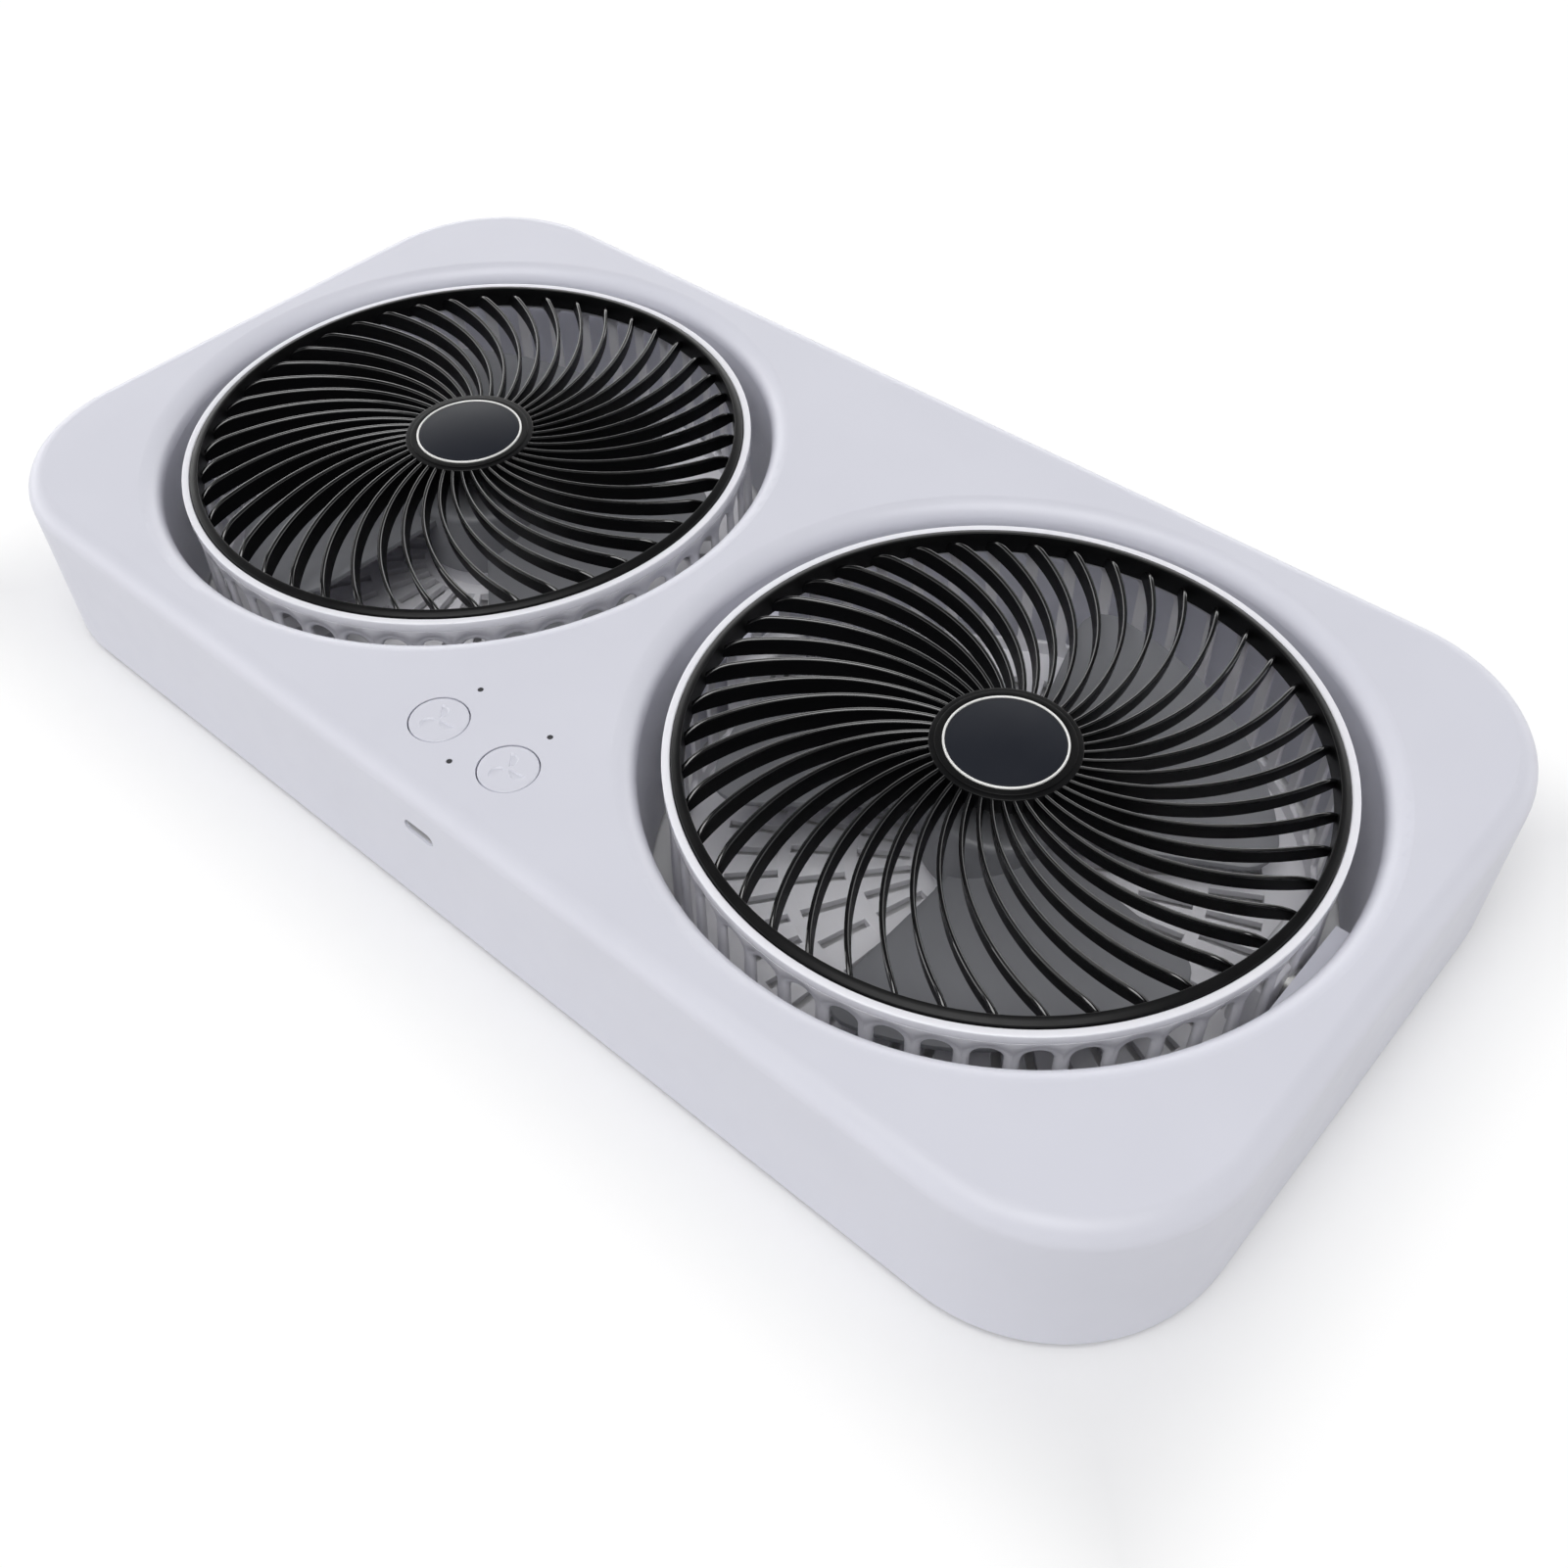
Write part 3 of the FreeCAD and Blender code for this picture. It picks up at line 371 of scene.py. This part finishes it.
def buildGrille(side):
    s = grilleSet
    inner = hubSet["radius"] - s["overlap"]
    outer = s["ringRadius"] - s["ringTop"] / 2
    top = rimZ + s["ribRise"]
    foot = top - s["ribDepth"]
    bm = ribBar(s, inner, outer, top)
    bendRib(bm, s, inner, outer, top)
    repeatRound(bm, s["ribCount"])
    body, place = "head_" + side, headPlaces[side]
    grille = toPiece(bm, "swirl_grille_" + side, finishes["grilleBlack"], body, place)
    grille.data.materials.append(finishes["ribSideBlack"])
    evenNormals(grille)
    ring = toPiece(grilleRing(s), "grille_ring_" + side, finishes["ringBlack"], body, place)
    hub = toPiece(hubRim(hubSet, foot), "grille_hub_" + side, finishes["ringBlack"], body, place)
    trim = toPiece(hubTrim(hubSet), "hub_trim_" + side, finishes["trimSilver"], body, place)
    plate = toPiece(hubPlate(hubSet), "hub_disc_" + side, finishes["hubDark"], body, place)
    for piece, node, slot in ((grille, "grille_", "grille_black"), (ring, "grille_", "grille_black"),
                              (hub, "grille_", "grille_black"), (trim, "hub_trim_ring_", "trim_silver"),
                              (plate, "hub_plate_", "hub_dark")):
        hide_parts(node + side)


# white rim round each grille

rimSet = {"wall": 1.9 * mm, "outerRound": 0.35 * mm, "innerRound": 0.4 * mm, "seam": 0.28 * mm}


def buildRim(side):
    s = rimSet
    inner = headRadius - s["wall"]
    bm = lathe([(inner, ringLow.z), (headRadius, ringLow.z, s["seam"]),
                (headRadius, rimZ, s["outerRound"]), (inner, rimZ, s["innerRound"])], steps=240)
    rim = toPiece(bm, "rim_" + side, finishes["rimWhite"], "head_" + side, headPlaces[side])
    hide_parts("front_ring_" + side)


# rear cage: arched slots round the wall, bands of radial slots in the plate, motor cup and pivot pads

cageSet = {"wall": 2.0 * mm, "slotCount": 48, "slotWidth": 6.5 * mm, "slotTop": 6.4 * mm,
           "slotFoot": 6.0 * mm, "archShare": 0.97, "footRound": 1.0 * mm, "scallop": 1.45 * mm,
           "innerEdge": 0.3 * mm, "columns": 12, "rows": 14, "waveDepth": 0.75 * mm,
           "waveReach": 3.0 * mm, "waveFade": 4.0 * mm, "plate": 2.2 * mm,
           "bands": ((19.05, 31.57, 30), (34.77, 47.28, 30), (50.48, 63.0, 48)),
           "slit": 2.2 * mm, "slitEdge": 0.3 * mm, "spokeLet": 0.4 * mm,
           "spokeInset": (0.05 * mm, 0.1 * mm), "webEdges": (0.2 * mm, 0.3 * mm), "webLet": 0.2 * mm,
           "cupRadius": 13.15 * mm, "cupWall": 2.0 * mm, "cupTop": 10.4 * mm,
           "cupEdges": (0.5 * mm, 0.3 * mm), "ledgeTop": 40.25 * mm, "ledgeHeight": 1.2 * mm,
           "ledgeWidth": 1.8 * mm, "ledgeEdge": 0.3 * mm, "joinLet": 0.1 * mm, "padWidth": 22.0 * mm,
           "padHeight": 16.0 * mm, "padInner": 66.2 * mm, "padOuter": 73.8 * mm, "padRound": 1.4 * mm,
           "screwCircle": 8.0 * mm, "screwSink": 2.4 * mm, "sinkDepth": 1.4 * mm}


def slottedWall(s):
    # one slot with its surround is made flat, then bent to the wall and repeated
    low, high = cageLow.z, cageHigh.z
    middle = headRadius - s["wall"] / 2
    half = math.pi * middle / s["slotCount"]
    slotHalf = s["slotWidth"] / 2
    slotLow, slotHigh = low + s["slotFoot"], rimZ - s["slotTop"]
    corners = ((0, low), (half, low), (half, high), (0, high), (0, slotHigh), (slotHalf, slotHigh),
               (slotHalf, slotLow), (0, slotLow))
    bm = bmesh.new()
    verts = [bm.verts.new((x, 0, z)) for x, z in corners]
    bm.faces.new(verts)
    roundCorner(bm, verts[5], slotHalf * s["archShare"], 8)  # the slot's top
    roundCorner(bm, verts[6], s["footRound"], 3)  # the slot's foot
    bmesh.ops.mirror(bm, geom=everything(bm), merge_dist=hair, axis="X")
    bmesh.ops.recalc_face_normals(bm, faces=bm.faces[:])
    grown = bmesh.ops.extrude_face_region(bm, geom=bm.faces[:])["geom"]
    bmesh.ops.translate(bm, vec=(0, s["wall"], 0), verts=vertsOf(grown))
    bmesh.ops.recalc_face_normals(bm, faces=bm.faces[:])
    seams = [f for f in bm.faces if abs(f.normal.x) > flatOn
             and abs(abs(f.calc_center_median().x) - half) < hair]
    bmesh.ops.delete(bm, geom=seams, context="FACES_ONLY")
    for depth, radius, segments in ((0, s["scallop"], 6), (s["wall"], s["innerEdge"], 2)):
        slotRim = [e for e in edgesAt(bm, 1, depth) if e.calc_face_angle(0) > sharpTurn
                   and all(low + hair < v.co.z < high - hair for v in e.verts)]
        roundEdges(bm, slotRim, radius, segments)
    arch = slotHigh - slotHalf  # centre height of the round slot tops
    for i in range(1, s["columns"]):
        cut(bm, (-half + 2 * half * i / s["columns"], 0, 0), (1, 0, 0), hair)
    for i in range(s["rows"]):
        cut(bm, (0, 0, arch + (high - arch) * i / s["rows"]), (0, 0, 1), hair)
    for vert in bm.verts:
        # the outside sinks softly towards each slot
        past = math.hypot(vert.co.x, max(vert.co.z - arch, 0)) - slotHalf - s["scallop"]
        wave = s["waveDepth"] * min(max(1 - past / s["waveReach"], 0), 1) ** 2
        wave *= min(max((vert.co.z - arch) / s["waveFade"] + 1, 0), 1)
        vert.co.y += wave * max(1 - vert.co.y / s["scallop"], 0)
    for vert in bm.verts:
        angle = vert.co.x / middle + math.pi / s["slotCount"]
        radius = headRadius - vert.co.y
        vert.co = (radius * math.cos(angle), radius * math.sin(angle), vert.co.z)
    repeatRound(bm, s["slotCount"])
    bmesh.ops.remove_doubles(bm, verts=bm.verts[:], dist=10 * hair)
    bmesh.ops.recalc_face_normals(bm, faces=bm.faces[:])
    return bm


def plateSpoke(s, inner, outer, count, low, high):
    # the solid wedge between two radial slits, let a little into the webs at its ends
    pitch = math.pi / count
    bm = barFrom((inner - s["spokeLet"], -0.5, low), (outer + s["spokeLet"], 0.5, high))
    for vert in bm.verts:
        vert.co.y *= 2 * (vert.co.x * math.tan(pitch) - s["slit"] / 2 / math.cos(pitch))
    sides = [e for e in bm.edges if abs(e.verts[0].co.x - e.verts[1].co.x) > s["slit"]]
    roundEdges(bm, sides, s["slitEdge"], 2)
    bmesh.ops.rotate(bm, cent=(0, 0, 0), matrix=Matrix.Rotation(pitch, 3, "Z"), verts=bm.verts[:])
    repeatRound(bm, count)
    return bm


def plateFloor(s, radius, low, high):
    # middle of the rear plate, with the sinks of the motor screws in its underside
    bm = bmesh.new()
    bmesh.ops.create_circle(bm, segments=120, radius=radius)
    for way in (-1, 1):
        bmesh.ops.create_circle(bm, segments=24, radius=s["screwSink"],
                                matrix=Matrix.Translation((way * s["screwCircle"], 0, 0)))
    bmesh.ops.triangle_fill(bm, use_beauty=True, edges=bm.edges[:], normal=(0, 0, -1))
    bmesh.ops.translate(bm, vec=(0, 0, low), verts=bm.verts[:])
    grown = bmesh.ops.extrude_edge_only(bm, edges=openEdgesOf(bm.edges))["geom"]
    sinksEnd = s["screwCircle"] + 2 * s["screwSink"]  # the outer rim lies beyond this
    for vert in vertsOf(grown):
        vert.co.z = high if vert.co.xy.length > sinksEnd else low + s["sinkDepth"]
    bmesh.ops.holes_fill(bm, edges=openEdgesOf(grown), sides=0)
    bmesh.ops.recalc_face_normals(bm, faces=bm.faces[:])
    return bm


def buildCage(side):
    s = cageSet
    low, high = cageLow.z, cageLow.z + s["plate"]
    inner = headRadius - s["wall"]
    bm = slottedWall(s)
    bands = [(a * mm, b * mm, count) for a, b, count in s["bands"]]
    addTo(bm, plateFloor(s, bands[0][0], low, high))
    webs = [(a[1], b[0]) for a, b in zip(bands, bands[1:])] + [(bands[-1][1], inner + s["webLet"])]
    footEdge, topEdge = s["webEdges"]
    for a, b in webs:
        addTo(bm, lathe([(a, low, footEdge), (b, low, footEdge), (b, high, topEdge), (a, high, topEdge)],
                        segments=2))
    spokeLow, spokeHigh = low + s["spokeInset"][0], high - s["spokeInset"][1]
    for a, b, count in bands:
        addTo(bm, plateSpoke(s, a, b, count, spokeLow, spokeHigh))
    cup, cupOuter, cupFoot = s["cupRadius"], s["cupRadius"] + s["cupWall"], high - s["joinLet"]
    outerEdge, innerEdge = s["cupEdges"]
    addTo(bm, lathe([(cup, cupFoot), (cupOuter, cupFoot), (cupOuter, s["cupTop"], outerEdge),
                     (cup, s["cupTop"], innerEdge)], steps=96))
    ledge, ledgeFoot = s["ledgeTop"], s["ledgeTop"] - s["ledgeHeight"]
    lip, root = inner - s["ledgeWidth"], inner + s["joinLet"]
    addTo(bm, lathe([(lip, ledgeFoot, s["ledgeEdge"]), (root, ledgeFoot), (root, ledge),
                     (lip, ledge, s["ledgeEdge"])], segments=2))
    for way in (-1, 1):
        ends = sorted((way * s["padInner"], way * s["padOuter"]))
        addTo(bm, barFrom((ends[0], -s["padWidth"] / 2, pivotZ - s["padHeight"] / 2),
                          (ends[1], s["padWidth"] / 2, pivotZ + s["padHeight"] / 2), s["padRound"], 3))
    cage = toPiece(bm, "slotted_cage_" + side, finishes["cageWhitePaintedFill"], "head_" + side, headPlaces[side])
    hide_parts("rear_cage_" + side)
    evenNormals(cage)


# impeller: three wide blades on a hollow hub

impellerSet = {"blades": 3, "spanDegrees": 77.0, "tip": 64.5 * mm, "hub": 17.7 * mm, "hubWall": 2.0 * mm,
               "hubLow": 11.4 * mm, "hubTop": 30.0 * mm, "hubEdge": 0.3 * mm, "crown": 2.0 * mm,
               "low": 14.9 * mm, "rootRise": 11.5 * mm, "tipRise": 18.0 * mm, "thickness": 1.8 * mm,
               "edge": 0.6 * mm, "corner": 9.0 * mm, "chordCuts": 22, "radiusCuts": 8,
               "uprightShare": 0.9, "restDegrees": {"left": 117.5, "right": 68.0}}


def impellerBlade(s):
    # a flat sheet with round corners, bent to the hub, raised along its chord and thickened
    root = s["hub"] - s["hubWall"] / 2
    span = s["tip"] - root
    half = math.radians(s["spanDegrees"]) / 2 * s["tip"]
    corners = ((root, -half), (s["tip"], -half), (s["tip"], half), (root, half))
    bm = bmesh.new()
    verts = [bm.verts.new((x, y, 0)) for x, y in corners]
    bm.faces.new(verts)
    for vert in verts[1:3]:  # the two at the tip
        roundCorner(bm, vert, s["corner"], 8)
    for i in range(1, s["chordCuts"]):
        cut(bm, (0, -half + 2 * half * i / s["chordCuts"], 0), (0, 1, 0))
    for i in range(1, s["radiusCuts"]):
        cut(bm, (root + span * i / s["radiusCuts"], 0, 0), (1, 0, 0))
    for vert in bm.verts:
        angle = vert.co.y / s["tip"]
        share = vert.co.y / half / 2 + 0.5
        rise = s["rootRise"] + (s["tipRise"] - s["rootRise"]) * (vert.co.x - root) / span
        z = s["low"] + rise * share
        vert.co = (vert.co.x * math.cos(angle), vert.co.x * math.sin(angle), z - s["thickness"] / 2)
    bm.normal_update()
    if bm.faces[:][0].normal.z < 0:
        bmesh.ops.reverse_faces(bm, faces=bm.faces[:])
    grown = bmesh.ops.extrude_face_region(bm, geom=bm.faces[:])["geom"]
    bmesh.ops.translate(bm, vec=(0, 0, s["thickness"]), verts=vertsOf(grown))
    bmesh.ops.recalc_face_normals(bm, faces=bm.faces[:])
    upright = s["thickness"] * s["uprightShare"]  # edges that rise this much stay as they are
    rims = [e for e in bm.edges if e.calc_face_angle(0) > sharpTurn
            and min(v.co.xy.length for v in e.verts) > s["hub"]
            and abs(e.verts[0].co.z - e.verts[1].co.z) < upright]
    roundEdges(bm, rims, s["edge"], 2)
    return bm


def buildImpeller(side):
    s = impellerSet
    bm = impellerBlade(s)
    repeatRound(bm, s["blades"])
    wall, roof = s["hub"] - s["hubWall"], s["hubTop"] - s["hubWall"]
    addTo(bm, lathe([(0, s["hubTop"]), (s["hub"], s["hubTop"], s["crown"]),
                     (s["hub"], s["hubLow"], s["hubEdge"]), (wall, s["hubLow"], s["hubEdge"]),
                     (wall, roof), (0, roof)], steps=96))
    turn = Matrix.Rotation(math.radians(s["restDegrees"][side]), 3, "Z")
    bmesh.ops.rotate(bm, cent=(0, 0, 0), matrix=turn, verts=bm.verts[:])
    wheel = toPiece(bm, "blade_wheel_" + side, finishes["bladeGrey"], "rotor_" + side, headPlaces[side])
    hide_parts("impeller_" + side)


# push buttons with a dished three-blade sign

buttonSet = {"edge": 0.35 * mm, "flange": 1.5 * mm, "flangeDrop": 2.5 * mm, "flangeHeight": 1.0 * mm,
             "flangeEdge": 0.2 * mm, "stem": 2.5 * mm, "petals": 3, "petal": (2.15 * mm, 1.9 * mm),
             "petalPlace": 2.55 * mm, "petalMiddle": 0.42, "petalTurnDegrees": 131.0,
             "sink": 0.3 * mm, "slope": 0.7, "cap": 0.8 * mm}


def signTop(s, radius, top):
    # the face of a button, with three shallow half-round dishes that have their straight sides on rays
    bm = bmesh.new()
    bmesh.ops.create_circle(bm, cap_ends=True, segments=32, radius=1.0)
    bmesh.ops.bisect_plane(bm, geom=everything(bm), plane_co=(0, 0, 0), plane_no=(0, 1, 0),
                           clear_outer=True)
    bmesh.ops.scale(bm, vec=(*s["petal"], 1), verts=bm.verts[:])
    bmesh.ops.translate(bm, vec=(s["petalPlace"], 0, 0), verts=bm.verts[:])
    turn = Matrix.Rotation(math.radians(s["petalTurnDegrees"]), 3, "Z")
    bmesh.ops.rotate(bm, cent=(0, 0, 0), matrix=turn, verts=bm.verts[:])
    repeatRound(bm, s["petals"])
    bmesh.ops.delete(bm, geom=bm.faces[:], context="FACES_ONLY")
    rims = bm.edges[:]
    bmesh.ops.create_circle(bm, segments=96, radius=radius)
    bmesh.ops.triangle_fill(bm, use_beauty=True, edges=bm.edges[:], normal=(0, 0, 1))
    middle = turn @ Vector((s["petalPlace"], -s["petalMiddle"] * s["petal"][1], 0))
    turns = [Matrix.Rotation(2 * math.pi * i / s["petals"], 3, "Z") for i in range(s["petals"])]
    middles = [around @ middle for around in turns]
    grown = bmesh.ops.extrude_edge_only(bm, edges=rims)["geom"]
    for vert in vertsOf(grown):
        near = min(middles, key=lambda spot: (spot - vert.co).length)
        vert.co = near + (vert.co - near) * s["slope"]
        vert.co.z = -s["sink"]
    bmesh.ops.holes_fill(bm, edges=openEdgesOf(grown), sides=0)
    bmesh.ops.translate(bm, vec=(0, 0, top), verts=bm.verts[:])
    return bm


def buildButton(side):
    s = buttonSet
    low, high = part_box("button_" + side)
    brim = (high.x - low.x) / 2
    radius = brim - s["flange"]
    cap = radius - s["cap"]
    flange = high.z - s["flangeDrop"]
    under = flange - s["flangeHeight"]
    bm = lathe([(0, low.z), (s["stem"], low.z), (s["stem"], under), (brim, under, s["flangeEdge"]),
                (brim, flange, s["flangeEdge"]), (radius, flange), (radius, high.z, s["edge"]),
                (cap, high.z), (0, high.z)], steps=96)
    plain = [f for f in bm.faces
             if all(v.co.z > high.z - hair and v.co.xy.length < cap + hair for v in f.verts)]
    bmesh.ops.delete(bm, geom=plain, context="FACES")
    addTo(bm, signTop(s, cap, high.z))
    closeUp(bm)
    middle = Vector(((low.x + high.x) / 2, (low.y + high.y) / 2, 0))
    button = toPiece(bm, "push_button_" + side, finishes["buttonWhite"], side + "_button", middle,
                     sharpDegrees=15)
    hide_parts("button_" + side)


for side in headPlaces:
    buildGrille(side)
    buildRim(side)
    buildCage(side)
    buildImpeller(side)
    buildButton(side)
    print("pieces made:", side)


# camera, floor and light

cameraSet = {"place": (0.21167, -0.20856, 0.29837), "turnDegrees": (41.9105, 0.8786, 41.2401),
             "lens": 36.68, "sensor": 36.0, "nearest": 0.01}
camera = bpy.data.objects.new("camera", bpy.data.cameras.new("camera"))
camera.location = cameraSet["place"]
camera.rotation_euler = [math.radians(angle) for angle in cameraSet["turnDegrees"]]
camera.data.lens = cameraSet["lens"]
camera.data.sensor_width = cameraSet["sensor"]
camera.data.clip_start = cameraSet["nearest"]
bpy.context.scene.collection.objects.link(camera)
bpy.context.scene.camera = camera
bpy.context.scene.view_settings.view_transform = "Standard"

floorSet = {"half": 6.0, "colour": (0.84, 0.84, 0.845, 1), "white": 0.86, "glow": 1.05,
            "inset": 0.004, "fade": 0.04}


def seenByEye(tree):
    # 1 where a ray comes from the camera, or by way of a mirror or a clear piece
    rays = tree.nodes.new("ShaderNodeLightPath").outputs
    mirrored = mathValue(tree, "MAXIMUM", rays["Is Camera Ray"], rays["Is Glossy Ray"])
    return mathValue(tree, "MAXIMUM", mirrored, rays["Is Transmission Ray"])


def openFloor(tree, s):
    # 0 under the fan, where the floor keeps its own shade, and 1 a little way out from it
    coords = tree.nodes.new("ShaderNodeTexCoord")
    split = tree.nodes.new("ShaderNodeSeparateXYZ")
    tree.links.new(coords.outputs["Object"], split.inputs[0])
    shares = []
    for axis, half in ((0, shellHigh.x), (1, shellHigh.y)):
        away = mathValue(tree, "ABSOLUTE", split.outputs[axis])
        start = half - s["inset"]
        shares.append(rangeValue(tree, away, (start, start + s["fade"]), smooth=True))
    return mathValue(tree, "MAXIMUM", *shares)


def buildFloor(s):
    bm = bmesh.new()
    bmesh.ops.create_grid(bm, x_segments=1, y_segments=1, size=s["half"])
    mesh = bpy.data.meshes.new("floor")
    bm.to_mesh(mesh)
    bm.free()
    floor = bpy.data.objects.new("floor", mesh)
    bpy.context.scene.collection.objects.link(floor)
    material = bpy.data.materials.new("floorPale")
    material.use_nodes = True
    tree = material.node_tree
    tree.nodes.remove(tree.nodes["Principled BSDF"])
    matt = tree.nodes.new("ShaderNodeBsdfDiffuse")
    matt.inputs["Color"].default_value = s["colour"]
    white = tree.nodes.new("ShaderNodeEmission")
    white.inputs["Strength"].default_value = s["glow"]
    blend = tree.nodes.new("ShaderNodeMixShader")
    seen = mathValue(tree, "MULTIPLY", seenByEye(tree), openFloor(tree, s))
    tree.links.new(rangeValue(tree, seen, (0.0, 1.0), (0.0, s["white"])), blend.inputs["Fac"])
    tree.links.new(matt.outputs[0], blend.inputs[1])
    tree.links.new(white.outputs[0], blend.inputs[2])
    tree.links.new(blend.outputs[0], tree.nodes["Material Output"].inputs["Surface"])
    mesh.materials.append(material)


worldSet = {"zenith": (0.04, 0.04, 0.043, 1), "fade": (0.12, 0.6), "back": (-0.82, 0.573, 0.0),
            "turn": (-0.8, 0.8), "levels": (0.35, 2.9)}


def buildWorld(s):
    # dark overhead, with a pale band round the horizon that grows brighter towards the back
    world = bpy.data.worlds.new("studio")
    world.use_nodes = True
    bpy.context.scene.world = world
    tree = world.node_tree
    coords = tree.nodes.new("ShaderNodeTexCoord")
    turned = tree.nodes.new("ShaderNodeVectorMath")
    turned.operation = "DOT_PRODUCT"
    turned.inputs[1].default_value = s["back"]
    tree.links.new(coords.outputs["Generated"], turned.inputs[0])
    split = tree.nodes.new("ShaderNodeSeparateXYZ")
    tree.links.new(coords.outputs["Generated"], split.inputs[0])
    blend = tree.nodes.new("ShaderNodeMix")
    blend.data_type = "RGBA"
    tree.links.new(rangeValue(tree, split.outputs["Z"], s["fade"], smooth=True), blend.inputs[0])
    # for colours, the two sides of a mix are its inputs 6 and 7 and the result is output 2
    tree.links.new(rangeValue(tree, turned.outputs["Value"], s["turn"], s["levels"]), blend.inputs[6])
    blend.inputs[7].default_value = s["zenith"]
    tree.links.new(blend.outputs[2], tree.nodes["Background"].inputs["Color"])


lampSets = {
    "overhead": {"place": (-0.1, 0.1, 2.4), "aim": (0, 0, 0), "size": (1.6, 1.4), "power": 6.0},
    "key": {"place": (1.22, -2.11, 5.48), "aim": (0, 0, 0), "size": (5.0, 4.4), "power": 282.0},
}


def buildLamp(name, s):
    lamp = bpy.data.lights.new(name, "AREA")
    lamp.shape = "RECTANGLE"
    lamp.size, lamp.size_y = s["size"]
    lamp.energy = s["power"]
    holder = bpy.data.objects.new(name, lamp)
    holder.location = s["place"]
    holder.rotation_euler = (Vector(s["aim"]) - Vector(s["place"])).to_track_quat("-Z", "Y").to_euler()
    bpy.context.scene.collection.objects.link(holder)


buildFloor(floorSet)
buildWorld(worldSet)
for lampName, lampSet in lampSets.items():
    buildLamp(lampName, lampSet)
print("studio made")
